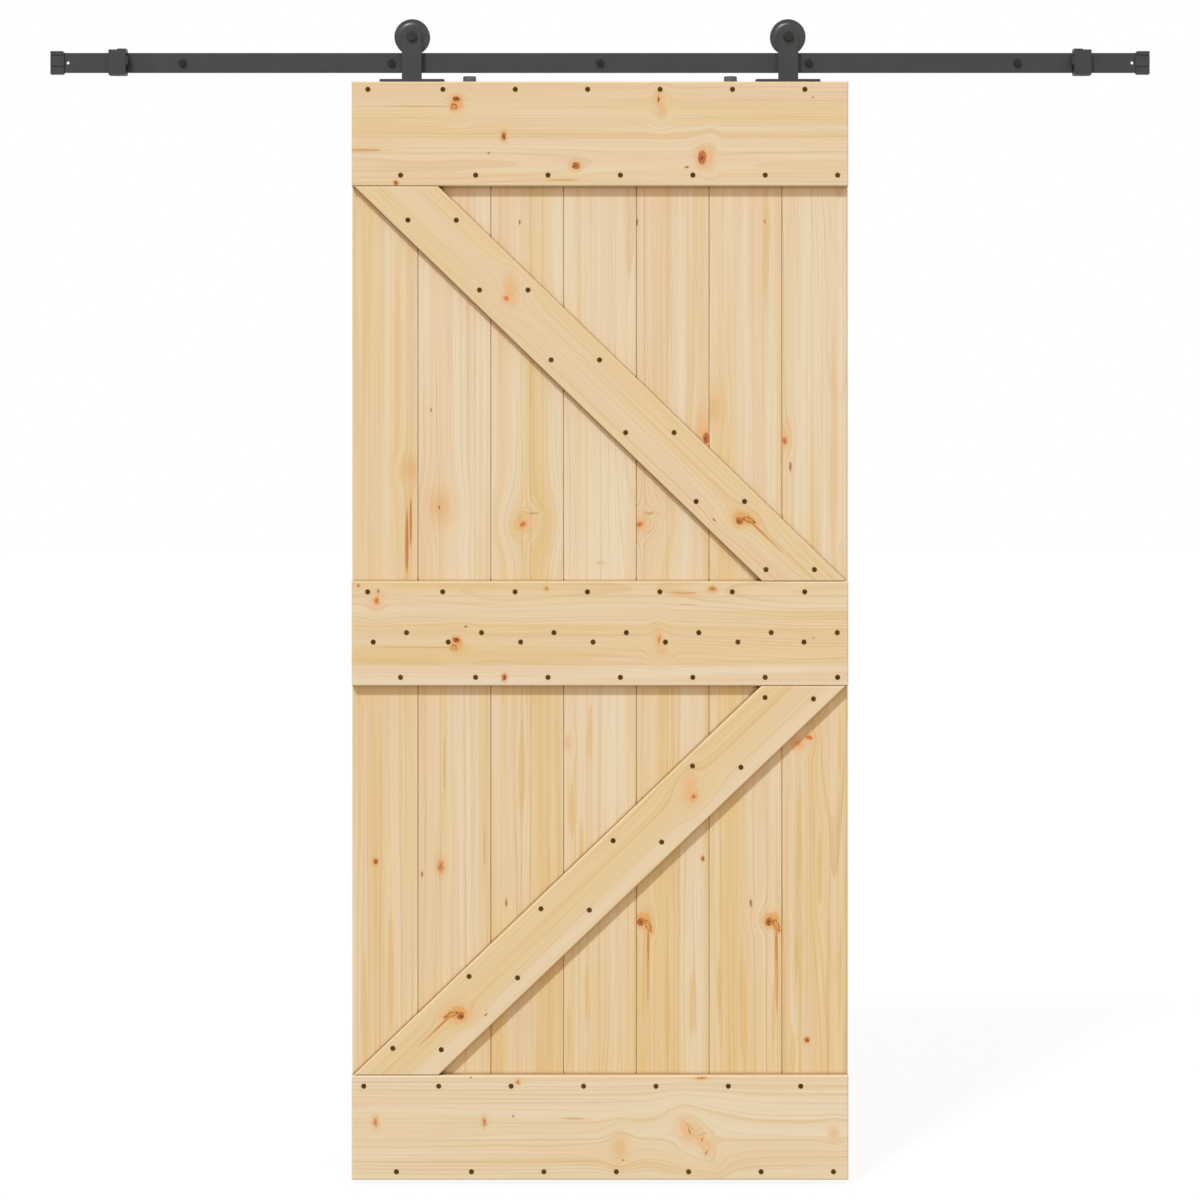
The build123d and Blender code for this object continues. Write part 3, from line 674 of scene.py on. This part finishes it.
BOARD_KNOTS = (
    (
        Knot(-365, 1357, 11, 17, WEAK),
        Knot(-363, 1257, 2.2, 36, RESIN),
        Knot(-370, 1208, 2.2, 52, RESIN),
        Knot(-430, 606, 4, 5.5, DARK),
        Knot(-452, 300, 6, 140, FLAME),
        Knot(-401, 398, 5, 130, FLAME),
        Knot(-388, 1600, 7, 190, BAND),
    ),
    (
        Knot(-308, 1287, 16, 23, WEAK),
        Knot(-308, 1285, 1.6, 4, PIN),
        Knot(-324, 1472, 1.4, 4, PIN),
        Knot(-305, 597, 6, 11, SOFT),
        Knot(-341, 582, 2, 6, PIN),
        Knot(-298, 790, 1.2, 55, FLAW),
        Knot(-221, 631, 1.2, 34, FLAW),
        Knot(-240, 950, 0.7, 1200, LINE),
        Knot(-230, 1250, 0.6, 900, LINE),
    ),
    ember_knots(-148) + (
        Knot(-154, 1832, 2, 5, PIN),
        Knot(-180, 527, 2, 8, PIN),
        Knot(-150, 783, 8, 90, FLAME),
        Knot(-150, 900, 0.6, 900, LINE),
        Knot(-133, 1300, 0.7, 1300, LINE),
        Knot(-110, 1700, 0.6, 500, LINE),
    ),
    (
        Knot(1, 1179, 8, 1.6, WEAK),
        Knot(-63, 834, 6, 11, WEAK),
        Knot(-18, 850, 4.5, 65, FLAME),
        Knot(-54, 706, 5, 55, FLAME),
        Knot(-35, 642, 4, 48, FLAME),
        Knot(-25, 359, 5, 65, FLAME),
        Knot(-60, 276, 4, 55, FLAME),
        Knot(-25, 900, 0.6, 800, LINE),
        Knot(-2, 500, 0.6, 500, LINE),
    ),
    ember_knots(76) + twin_knots(79) + (
        Knot(198, 1440, 9, 22, BLUSH),
        Knot(203, 1418, 5.5, 10, RED),
        Knot(71, 1832, 2.2, 7, PIN),
        Knot(197, 612, 3, 4, DARK),
        Knot(129, 340, 6, 125, FLAME),
        Knot(84, 385, 3, 85, FLAME),
        Knot(178, 334, 6, 75, FLAME),
        Knot(85, 1600, 0.6, 500, LINE),
        Knot(129, 1200, 0.7, 1200, LINE),
    ),
    twin_knots(325) + (
        Knot(220, 1473, 10, 25, WEAK),
        Knot(316, 1833, 2, 4, PIN),
        Knot(289, 527, 2.4, 8, PIN),
        Knot(274, 334, 6, 95, FLAME),
        Knot(229, 366, 4, 65, FLAME),
        Knot(332, 302, 4, 65, FLAME),
        Knot(318, 1780, 7, 120, BAND),
        Knot(319, 600, 0.6, 700, LINE),
    ),
    (
        Knot(353, 1422, 8, 18, BLUSH),
        Knot(354, 1413, 4.5, 7, EMBER),
        Knot(365, 1363, 2.6, 9, PIN),
        Knot(401, 844, 6.5, 4, EMBER),
        Knot(379, 833, 6, 5, EMBER),
        Knot(378, 833, 11, 9, BLUSH),
        Knot(397, 264, 4.5, 4.5, DARK),
        Knot(383, 655, 5, 95, FLAME),
        Knot(421, 590, 6, 65, FLAME),
        Knot(460, 828, 4, 65, FLAME),
        Knot(377, 423, 4, 42, FLAME),
        Knot(460, 398, 4, 85, FLAME),
        Knot(370, 237, 5, 45, FLAME),
        Knot(447, 1400, 6, 240, BAND),
    ),
)

# The figure of each board, from left to right, then of the rails and braces
BOARD_WOODS = (
    Pine(1.3, 0.55, 0.45, -150, 60, 0.004, 4.6, 0.44, foot_honey=0.10),
    Pine(5.9, 0.17, 0.75, 130, 75, -0.006, 5.2, 0.36, foot_honey=0.34),
    Pine(11.2, 0.46, 0.6, -95, 48, 0.010, 4.2, 0.48, foot_honey=0.40),
    Pine(17.8, 0.28, 0.5, 60, 42, 0.014, 5.0, 0.40, foot_honey=0.56),
    Pine(23.1, 0.40, 0.6, 150, 70, -0.004, 4.0, 0.48, foot_honey=0.22),
    Pine(29.7, 0.36, 0.75, -70, 52, -0.012, 4.8, 0.42, foot_honey=0.20),
    Pine(35.4, 0.4, 0.55, 40, 36, 0.016, 5.4, 0.48, foot_honey=0.34),
)
TOP_RAIL_WOOD = Pine(41.5, 0.34, 0.6, -60, 46, 0.008, 4.8, 0.46, glue_line=17)
MIDDLE_RAIL_WOOD = Pine(47.2, 0.14, 0.65, 90, 52, -0.01, 5.0, 0.42, glue_line=-60.6, bands=0.6)
BOTTOM_RAIL_WOOD = Pine(53.9, 0.16, 0.45, 10, 34, 0.012, 6.2, 0.44, bands=0.6)
UPPER_BRACE_WOOD = Pine(60.3, 0.4, 0.6, 70, 58, 0.006, 5.2, 0.4, bands=0.45)
LOWER_BRACE_WOOD = Pine(66.8, 0.4, 0.5, -60, 50, -0.006, 5.4, 0.4, bands=0.45)
LEVEL_GRAIN = math.pi / 2
BRACE_CUT = 156 * MM


def dress(node, material):
    """A CAD node takes one material."""
    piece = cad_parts[node]
    piece.data.materials.clear()
    piece.data.materials.append(material)


def brace_turn(node, rises_right):
    """The turn of a brace's grain, along the line between the middles of its two level ends."""
    low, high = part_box(node)
    lean = 1 if rises_right else -1
    return grain_turn((-lean, low.z), (lean * (high.x - low.x - BRACE_CUT) - lean, high.z))


for board, wood, knots in zip(BOARDS, BOARD_WOODS, BOARD_KNOTS):
    dress(board, pine(f"pine_{board}", board, 0.0, wood, knots))
for rail, wood, knots in (
    ("top_rail", TOP_RAIL_WOOD, TOP_RAIL_KNOTS),
    ("middle_rail", MIDDLE_RAIL_WOOD, MIDDLE_RAIL_KNOTS),
    ("bottom_rail", BOTTOM_RAIL_WOOD, BOTTOM_RAIL_KNOTS),
):
    dress(rail, pine(f"pine_{rail}", rail, LEVEL_GRAIN, wood, knots))
for brace, rises_right, wood, knots in (
    ("upper_brace", False, UPPER_BRACE_WOOD, UPPER_BRACE_KNOTS),
    ("lower_brace", True, LOWER_BRACE_WOOD, LOWER_BRACE_KNOTS),
):
    dress(brace, pine(f"pine_{brace}", brace, brace_turn(brace, rises_right), wood, knots))


# Metal, plastic and rubber finishes: waves in a metre, how much of the roughness goes with them, and the
# strength and depth of their bump
PEEL_WAVES = 620
PEEL_GLOSS = 0.08
PEEL_BUMP = (0.22, 0.25 * MM)
COAT_WAVES = 28
COAT_GLOSS = 0.14
COAT_SPAN = (0.3, 0.7)
LATHE_WAVES = 2600
LATHE_GLOSS = 0.1
LATHE_BUMP = (0.18, 0.12 * MM)
LATHE_SPECULAR = 0.7
TARNISH_WAVES = 60
TARNISH_GLOSS = 0.12
TARNISH_SPAN = (0.32, 0.68)
PORE_GLOSS = 0.16
PORE_BUMP = (0.3, 0.2 * MM)
BLOOM_WAVES = 45
BLOOM_SPAN = (0.3, 0.7)


def powder_coat(name, colour, lighter, roughness, specular=0.5):
    """Satin powder coat: a fine orange-peel skin with a little mottle in colour and gloss."""
    material, shader, wiring = new_material(name)
    place = object_place(wiring)
    peel = wiring.even_noise(place, PEEL_WAVES, (3, 1, 2))
    mottle = wiring.even_noise(place, COAT_WAVES, (7, 5, 1), detail=3.0)
    wiring.feed(shader.inputs["Base Color"], wiring.mix(wiring.ease(mottle, *COAT_SPAN), colour, lighter))
    gloss = wiring.math("MULTIPLY_ADD", mottle, COAT_GLOSS, roughness - COAT_GLOSS / 2)
    wiring.feed(shader.inputs["Roughness"], wiring.math("MULTIPLY_ADD", peel, PEEL_GLOSS, gloss))
    wiring.feed(shader.inputs["Normal"], wiring.bump(peel, *PEEL_BUMP))
    shader.inputs["Specular IOR Level"].default_value = specular
    return material


def turned_metal(name, node, colour, lighter, roughness, metallic):
    """Metal turned on a lathe about Y: fine rings round the node's own axis."""
    material, shader, wiring = new_material(name)
    low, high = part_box(node)
    centre = (low + high) / 2
    place = wiring.vector("SUBTRACT", object_place(wiring), tuple(centre))
    x, y, z = wiring.split(place)
    radius = wiring.length(wiring.join(x, 0.0, z))
    outwards = wiring.math("MULTIPLY", radius, LATHE_WAVES)
    inwards = wiring.math("MULTIPLY", y, LATHE_WAVES)
    rings = wiring.noise(wiring.join(outwards, inwards, 4.0))
    mottle = wiring.even_noise(place, TARNISH_WAVES, (2, 8, 5), detail=3.0)
    wiring.feed(shader.inputs["Base Color"], wiring.mix(wiring.ease(mottle, *TARNISH_SPAN), colour, lighter))
    gloss = wiring.math("MULTIPLY_ADD", mottle, TARNISH_GLOSS, roughness - LATHE_GLOSS)
    wiring.feed(shader.inputs["Roughness"], wiring.math("MULTIPLY_ADD", rings, LATHE_GLOSS, gloss))
    wiring.feed(shader.inputs["Normal"], wiring.bump(rings, *LATHE_BUMP))
    shader.inputs["Metallic"].default_value = metallic
    shader.inputs["Specular IOR Level"].default_value = LATHE_SPECULAR
    return material


def moulded(name, colour, lighter, roughness, grain):
    """Moulded plastic or rubber with a fine grain; grain is how many bumps lie in a metre."""
    material, shader, wiring = new_material(name)
    place = object_place(wiring)
    pores = wiring.even_noise(place, grain, (1, 6, 3), detail=3.0, roughness=0.6)
    bloom = wiring.even_noise(place, BLOOM_WAVES, (4, 2, 9))
    wiring.feed(shader.inputs["Base Color"], wiring.mix(wiring.ease(bloom, *BLOOM_SPAN), colour, lighter))
    gloss = wiring.math("MULTIPLY_ADD", pores, PORE_GLOSS, roughness - PORE_GLOSS / 2)
    wiring.feed(shader.inputs["Roughness"], gloss)
    wiring.feed(shader.inputs["Normal"], wiring.bump(pores, *PORE_BUMP))
    return material


COATED_STEEL = powder_coat("coated_steel", shade(44, 43, 41), shade(51, 49, 47), 0.5)
STRAP_STEEL = powder_coat("strap_steel", shade(45, 43, 41), shade(52, 50, 47), 0.48)
BLACK_BOLT = powder_coat("black_bolt", shade(15, 13, 13), shade(22, 20, 19), 0.45, specular=0.32)
AXLE_BOLT = powder_coat("axle_bolt_steel", shade(34, 31, 31), shade(41, 38, 37), 0.45, specular=0.32)
BRONZED_SCREW = powder_coat("bronzed_screw", shade(82, 58, 24), shade(98, 72, 34), 0.6, specular=0.07)
BLACK_PLASTIC = moulded("black_plastic", shade(44, 44, 43), shade(52, 52, 50), 0.5, 900)
GREY_PLASTIC = moulded("grey_plastic", shade(84, 83, 81), shade(96, 94, 92), 0.5, 800)
BLACK_RUBBER = moulded("black_rubber", shade(30, 30, 29), shade(38, 37, 36), 0.62, 1300)

dress("track_bar", COATED_STEEL)
for i in WALL_BOLTS:
    spacer = f"wall_spacer_{i}"
    dress(spacer, turned_metal(f"{spacer}_steel", spacer, shade(50, 49, 48), shade(62, 60, 58), 0.46, 0.0))
    dress(f"wall_bolt_{i}", BLACK_BOLT)
for side in SIDES:
    dress(f"end_cap_{side}", BLACK_PLASTIC)
    dress(f"end_stop_{side}", COATED_STEEL)
    dress(f"stop_bumper_{side}", BLACK_RUBBER)
    dress(f"hanger_{side}", STRAP_STEEL)
    dress(f"axle_bolt_{side}", AXLE_BOLT)
    dress(f"axle_nut_{side}", AXLE_BOLT)
    dress(f"anti_jump_disc_{side}", GREY_PLASTIC)
    wheel = f"wheel_{side}"
    dress(wheel, turned_metal(f"{wheel}_steel", wheel, shade(36, 35, 34), shade(44, 43, 41), 0.34, 0.0))
    bearing = f"bearing_{side}"
    bright = turned_metal(f"{bearing}_steel", bearing, shade(150, 150, 148), shade(176, 176, 174), 0.3, 1.0)
    dress(bearing, bright)
    collar = f"axle_collar_{side}"
    dress(collar, turned_metal(f"{collar}_steel", collar, shade(60, 59, 57), shade(74, 72, 70), 0.42, 0.0))


# Shares of a screw's own sizes: the taper of its cross and head, its socket's floor, and its eased rim
CROSS_TAPER = 0.6
HEAD_TAPER = 0.55
SOCKET_INSET = 0.2
SOCKET_CONE = 0.25
HEAD_EASE = 0.1

# A face with more than this of an axis in its normal faces along that axis
FLAT_ON = 0.9

# The turn from one copy to the next, in radians, and the angle in degrees past which an edge stays sharp
GOLDEN_TURN = 2.39996
SMOOTH_ANGLE = 35


# Modelling by hand: every step starts from a clean selection
def start_clean():
    if bpy.context.mode != "OBJECT":
        bpy.ops.object.mode_set(mode="OBJECT")
    bpy.ops.object.select_all(action="DESELECT")


def make_active(piece):
    start_clean()
    piece.select_set(True)
    bpy.context.view_layer.objects.active = piece


def pick_faces(piece, wanted):
    """Opens the piece for editing with only the faces selected that pass the test."""
    bpy.ops.object.mode_set(mode="EDIT")
    bpy.ops.mesh.select_mode(type="FACE")
    bpy.ops.mesh.select_all(action="DESELECT")
    bpy.ops.object.mode_set(mode="OBJECT")
    for face in piece.data.polygons:
        face.select = wanted(face)
    bpy.ops.object.mode_set(mode="EDIT")


def finish_edit():
    bpy.ops.object.mode_set(mode="OBJECT")


def apply_place(piece):
    make_active(piece)
    bpy.ops.object.transform_apply(location=True, rotation=True, scale=True)


def cut_away(piece, cutter, name):
    """Takes the cutter's shape out of the piece and removes the cutter."""
    make_active(piece)
    recess = piece.modifiers.new(name, "BOOLEAN")
    recess.operation = "DIFFERENCE"
    recess.solver = "EXACT"
    recess.object = cutter
    bpy.ops.object.modifier_apply(modifier=name)
    bpy.data.objects.remove(cutter)


def cross_cutter(slot, reach, bite):
    """A cross of two bars, for a screw head that faces -Y at the origin."""
    start_clean()
    bpy.ops.mesh.primitive_cube_add(size=1.0, scale=(slot, 2 * bite, slot))
    cutter = bpy.context.object
    apply_place(cutter)
    pick_faces(cutter, lambda face: abs(face.normal.y) < FLAT_ON)
    bpy.ops.mesh.extrude_faces_move(TRANSFORM_OT_shrink_fatten={"value": reach - slot / 2})
    pick_faces(cutter, lambda face: face.normal.y > FLAT_ON)
    bpy.ops.transform.resize(value=(CROSS_TAPER, 1.0, CROSS_TAPER), center_override=(0.0, bite, 0.0))
    finish_edit()
    return cutter


def hex_cutter(flats, bite):
    """A hexagon socket, for a screw that faces -Y at the origin."""
    start_clean()
    bpy.ops.mesh.primitive_cylinder_add(
        vertices=6, radius=flats / math.sqrt(3), depth=2 * bite, rotation=(math.pi / 2, 0, 0)
    )
    cutter = bpy.context.object
    apply_place(cutter)
    pick_faces(cutter, lambda face: face.normal.y > FLAT_ON)
    bpy.ops.mesh.inset(thickness=flats * SOCKET_INSET, depth=bite * SOCKET_CONE)
    finish_edit()
    return cutter


def sunk_head(name, radius, height, sides):
    """A countersunk head that faces -Y with its rim at the origin: a tapered round with an eased rim."""
    start_clean()
    bpy.ops.mesh.primitive_cylinder_add(
        vertices=sides, radius=radius, depth=height, location=(0, height / 2, 0), rotation=(math.pi / 2, 0, 0)
    )
    head = bpy.context.object
    head.name = name
    apply_place(head)
    pick_faces(head, lambda face: face.normal.y > FLAT_ON)
    bpy.ops.transform.resize(value=(HEAD_TAPER, 1.0, HEAD_TAPER), center_override=(0.0, height, 0.0))
    pick_faces(head, lambda face: face.normal.y < -FLAT_ON)
    bpy.ops.mesh.bevel(offset=radius * HEAD_EASE, segments=2, affect="EDGES")
    finish_edit()
    return head


def set_out(template, name, places, tip):
    """Copies one modelled piece to its places, each copy turned on its axis and tipped, and joins them."""
    start_clean()
    copies = []
    for i, place in enumerate(places):
        copy = template.copy()
        copy.data = template.data.copy()
        bpy.context.collection.objects.link(copy)
        copy.rotation_mode = "YXZ"
        copy.rotation_euler = (tip, i * GOLDEN_TURN, 0.0)
        copy.location = place
        copies.append(copy)
    for copy in copies:
        copy.select_set(True)
    bpy.context.view_layer.objects.active = copies[0]
    bpy.ops.object.transform_apply(location=True, rotation=True, scale=True)
    if len(copies) > 1:
        bpy.ops.object.join()
    joined = bpy.context.object
    joined.name = name
    joined.data.name = name
    return joined


def finish_piece(piece, material, body):
    """Smooths a new piece, gives it its finish and lets it ride on its body."""
    make_active(piece)
    bpy.ops.object.shade_smooth_by_angle(angle=math.radians(SMOOTH_ANGLE))
    piece.data.materials.clear()
    piece.data.materials.append(material)
    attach(piece, body)


# Screws through the rails and braces into the boards: rows across the rails, pairs along the braces
SCREW_RADIUS = 5.0 * MM
SCREW_HEIGHT = 2.6 * MM
SCREW_PROUD = 0.8 * MM
SCREW_SIDES = 20
SCREW_SLOT = 0.9 * MM
SCREW_CROSS_REACH = 2.6 * MM
SCREW_CROSS_DEPTH = 0.65 * MM

# Spacing of the screws in mm, as their places are: between boards, at a row's ends, and across a brace
SCREW_PITCH = 138.4
FIRST_SCREW_SHIFT = -5.0
CLOSE_ROW_SHIFT = -12.0
BRACE_PAIR_HALF = 46.3


def rail_row(height, middle, last_shift=0.0):
    """One screw to a board. The middle one's x is from the leaf's middle, in mm."""
    middle_board = len(BOARDS) // 2
    xs = [middle + (i - middle_board) * SCREW_PITCH for i in range(len(BOARDS))]
    xs[0] += FIRST_SCREW_SHIFT
    xs[-1] += last_shift
    return [(x, height) for x in xs]


def brace_pairs(start, end, shares, drop=0.0):
    """Pairs at these shares of the way from start to end. The right screw of a pair sits lower by drop."""
    pairs = []
    for share in shares:
        x = start[0] + (end[0] - start[0]) * share
        height = start[1] + (end[1] - start[1]) * share
        pairs += [(x - BRACE_PAIR_HALF, height), (x + BRACE_PAIR_HALF, height - drop)]
    return pairs


SCREW_ROWS = {
    "top_rail_screws": rail_row(2085, -23.6) + rail_row(1921, 39.0),
    "middle_rail_screws": (
        rail_row(1124.5, -24.0)
        + rail_row(1046.5, 50.3, last_shift=CLOSE_ROW_SHIFT)
        + rail_row(1028.5, -13.3, last_shift=CLOSE_ROW_SHIFT)
        + rail_row(961, 38.9)
    ),
    "bottom_rail_screws": rail_row(179.5, -31.5) + rail_row(16, 31.0),
    "upper_brace_screws": brace_pairs((-321, 1835), (363.5, 1167), (0, 0.2, 0.4, 0.608, 0.805, 1)),
    "lower_brace_screws": brace_pairs(
        (361.7, 922.4), (-349.8, 251.9), (0, 0.195, 0.408, 0.602, 0.795, 1), drop=2.6
    ),
}


def leaf_place(x, height):
    return (x * MM, LEAF_FRONT - SCREW_PROUD, LEAF_BOTTOM + height * MM)


wood_screw = sunk_head("wood_screw", SCREW_RADIUS, SCREW_HEIGHT, SCREW_SIDES)
cut_away(wood_screw, cross_cutter(SCREW_SLOT, SCREW_CROSS_REACH, SCREW_CROSS_DEPTH), "cross")
for name, places in SCREW_ROWS.items():
    row = set_out(wood_screw, name, [leaf_place(x, height) for x, height in places], 0.0)
    finish_piece(row, BRONZED_SCREW, "door")
bpy.data.objects.remove(wood_screw)

# Countersunk screws in the hanger feet and the discs, seen from above
FOOT_THICKNESS = 5 * MM
FOOT_SCREW_REACH = (51 * MM, 32 * MM)
TOP_SCREW_RADIUS = 4.6 * MM
TOP_SCREW_HEIGHT = 3 * MM
TOP_SCREW_SIDES = 24
TOP_SCREW_SLOT = 1.0 * MM
TOP_SCREW_CROSS_REACH = 2.8 * MM
TOP_SCREW_CROSS_DEPTH = 1.6 * MM
FACE_UP = -math.pi / 2
SUNK = 0.15 * MM

top_screw = sunk_head("top_screw", TOP_SCREW_RADIUS, TOP_SCREW_HEIGHT, TOP_SCREW_SIDES)
cut_away(top_screw, cross_cutter(TOP_SCREW_SLOT, TOP_SCREW_CROSS_REACH, TOP_SCREW_CROSS_DEPTH), "cross")
for side in SIDES:
    foot_low, foot_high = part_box(f"hanger_{side}")
    foot_x = (foot_low.x + foot_high.x) / 2
    foot_y = (foot_low.y + foot_high.y) / 2
    foot_top = foot_low.z + FOOT_THICKNESS - SUNK
    reaches = [sign * reach for sign in (-1, 1) for reach in FOOT_SCREW_REACH]
    screws = set_out(
        top_screw, f"hanger_screws_{side}", [(foot_x + reach, foot_y, foot_top) for reach in reaches], FACE_UP
    )
    finish_piece(screws, BLACK_BOLT, "door")
    disc_low, disc_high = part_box(f"anti_jump_disc_{side}")
    disc_place = ((disc_low.x + disc_high.x) / 2, (disc_low.y + disc_high.y) / 2, disc_high.z - SUNK)
    screw = set_out(top_screw, f"disc_screw_{side}", [disc_place], FACE_UP)
    finish_piece(screw, BLACK_BOLT, "door")
bpy.data.objects.remove(top_screw)

# Socket set screws under the end stops, which clamp them to the bar
SET_SCREW_RADIUS = 3 * MM
SET_SCREW_HEIGHT = 4 * MM
SET_SCREW_PROUD = 0.6 * MM
SET_SCREW_SIDES = 24
SET_SCREW_SOCKET = 3 * MM
SET_SCREW_SOCKET_DEPTH = 2 * MM
FACE_DOWN = math.pi / 2

bar_low, bar_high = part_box("track_bar")
bar_middle = (bar_low.y + bar_high.y) / 2
set_screw = sunk_head("set_screw", SET_SCREW_RADIUS, SET_SCREW_HEIGHT, SET_SCREW_SIDES)
cut_away(set_screw, hex_cutter(SET_SCREW_SOCKET, SET_SCREW_SOCKET_DEPTH), "socket")
for side in SIDES:
    stop_low, stop_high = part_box(f"end_stop_{side}")
    stop_x = (stop_low.x + stop_high.x) / 2
    stop_foot = (stop_x, bar_middle, stop_low.z - SET_SCREW_PROUD)
    screw = set_out(set_screw, f"stop_screw_{side}", [stop_foot], FACE_DOWN)
    finish_piece(screw, BLACK_BOLT, "track")
bpy.data.objects.remove(set_screw)

# Threads on the wall bolts' free ends: a three-cornered ridge wound along the bolt
THREAD_START = 2.5 * MM
THREAD_PITCH = 3.4 * MM
THREAD_TURNS = 10
THREAD_STEPS = 20
THREAD_ROOT = 3.6 * MM
THREAD_CREST = 4.7 * MM
THREAD_SPREAD = 0.36
MERGE_DISTANCE = 0.001 * MM


def bolt_thread():
    """One helical ridge about Y, with its open ends closed.

    It starts as a three-cornered round of radius 1, which is 1.5 high with a third of that below its middle.
    """
    start_clean()
    bpy.ops.mesh.primitive_circle_add(vertices=3, radius=1.0, rotation=(0, 0, -math.pi / 2))
    ridge = bpy.context.object
    apply_place(ridge)
    rise = THREAD_CREST - THREAD_ROOT
    bpy.ops.object.mode_set(mode="EDIT")
    bpy.ops.mesh.select_all(action="SELECT")
    half_width = THREAD_PITCH * THREAD_SPREAD
    bpy.ops.transform.resize(value=(rise / 1.5, half_width, 1.0), center_override=(0.0, 0.0, 0.0))
    bpy.ops.transform.translate(value=(THREAD_ROOT + rise / 3, THREAD_START, 0.0))
    finish_edit()
    wind = ridge.modifiers.new("wind", "SCREW")
    wind.axis = "Y"
    wind.screw_offset = THREAD_PITCH
    wind.iterations = THREAD_TURNS
    wind.steps = THREAD_STEPS
    wind.render_steps = THREAD_STEPS
    make_active(ridge)
    bpy.ops.object.modifier_apply(modifier="wind")
    bpy.ops.object.mode_set(mode="EDIT")
    bpy.ops.mesh.select_all(action="SELECT")
    bpy.ops.mesh.remove_doubles(threshold=MERGE_DISTANCE)
    bpy.ops.mesh.fill_holes(sides=3)
    bpy.ops.mesh.select_all(action="SELECT")
    bpy.ops.mesh.normals_make_consistent(inside=False)
    finish_edit()
    return ridge


thread = bolt_thread()
for i in WALL_BOLTS:
    bolt_low, bolt_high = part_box(f"wall_bolt_{i}")
    bolt_place = ((bolt_low.x + bolt_high.x) / 2, 0.0, (bolt_low.z + bolt_high.z) / 2)
    wound = set_out(thread, f"wall_bolt_thread_{i}", [bolt_place], 0.0)
    finish_piece(wound, BLACK_BOLT, "track")
bpy.data.objects.remove(thread)


# Studio: floor, surround, key light and camera
def seen_directly(wiring):
    """1 where a ray comes from the camera, a gloss or a glass."""
    path = wiring.node("ShaderNodeLightPath").outputs
    seen = wiring.math("MAXIMUM", path["Is Camera Ray"], path["Is Glossy Ray"])
    return wiring.math("MAXIMUM", seen, path["Is Transmission Ray"])


def blend_shaders(wiring, share, first, second):
    blend = wiring.node("ShaderNodeMixShader")
    wiring.feed(blend.inputs[0], share)
    wiring.feed(blend.inputs[1], first.outputs[0])
    wiring.feed(blend.inputs[2], second.outputs[0])
    return blend


def studio_floor():
    start_clean()
    bpy.ops.mesh.primitive_plane_add(size=FLOOR_SIZE, location=(0, 0, LEAF_BOTTOM - FLOOR_DROP))
    floor = bpy.context.object
    floor.name = "studio_floor"
    material = bpy.data.materials.new("floor_white")
    material.use_nodes = True
    tree = material.node_tree
    tree.nodes.clear()
    wiring = Wiring(tree)
    dim = wiring.node("ShaderNodeBsdfDiffuse")
    dim.inputs["Color"].default_value = grey(FLOOR_BOUNCE)
    matt = wiring.node("ShaderNodeBsdfDiffuse")
    matt.inputs["Color"].default_value = grey(FLOOR_MATT)
    white = wiring.node("ShaderNodeEmission")
    white.inputs["Strength"].default_value = 1.0
    pale = blend_shaders(wiring, FLOOR_WHITE_SHARE, matt, white)
    shown = blend_shaders(wiring, seen_directly(wiring), dim, pale)
    wiring.feed(wiring.node("ShaderNodeOutputMaterial").inputs["Surface"], shown.outputs[0])
    floor.data.materials.append(material)


def studio_surround():
    world = bpy.data.worlds.new("studio")
    bpy.context.scene.world = world
    world.use_nodes = True
    world.node_tree.nodes.clear()
    wiring = Wiring(world.node_tree)
    light = wiring.node("ShaderNodeBackground")
    light.inputs["Color"].default_value = SURROUND_LIGHT
    white = wiring.node("ShaderNodeBackground")
    white.inputs["Color"].default_value = grey(1.0)
    shown = blend_shaders(wiring, seen_directly(wiring), light, white)
    wiring.feed(wiring.node("ShaderNodeOutputWorld").inputs["Surface"], shown.outputs[0])


def key_light():
    start_clean()
    tilt = math.radians(90 - KEY_ELEVATION)
    bpy.ops.object.light_add(type="SUN", rotation=(tilt, 0, math.radians(-KEY_TURN)))
    key = bpy.context.object
    key.name = "key_light"
    key.data.energy = KEY_STRENGTH
    key.data.color = KEY_COLOUR
    key.data.angle = math.radians(KEY_ANGLE)


def front_camera():
    start_clean()
    place = (0, LEAF_FRONT - VIEW_DISTANCE, LEAF_BOTTOM + EYE_HEIGHT)
    bpy.ops.object.camera_add(location=place, rotation=(math.pi / 2, 0, 0))
    camera = bpy.context.object
    camera.name = "front_camera"
    camera.data.sensor_width = SENSOR_WIDTH
    camera.data.lens = SENSOR_WIDTH * VIEW_DISTANCE / VIEW_WIDTH
    camera.data.shift_y = (VIEW_CENTRE_HEIGHT - EYE_HEIGHT) / VIEW_WIDTH
    bpy.context.scene.camera = camera


studio_floor()
studio_surround()
key_light()
front_camera()
bpy.context.scene.view_settings.view_transform = "Standard"
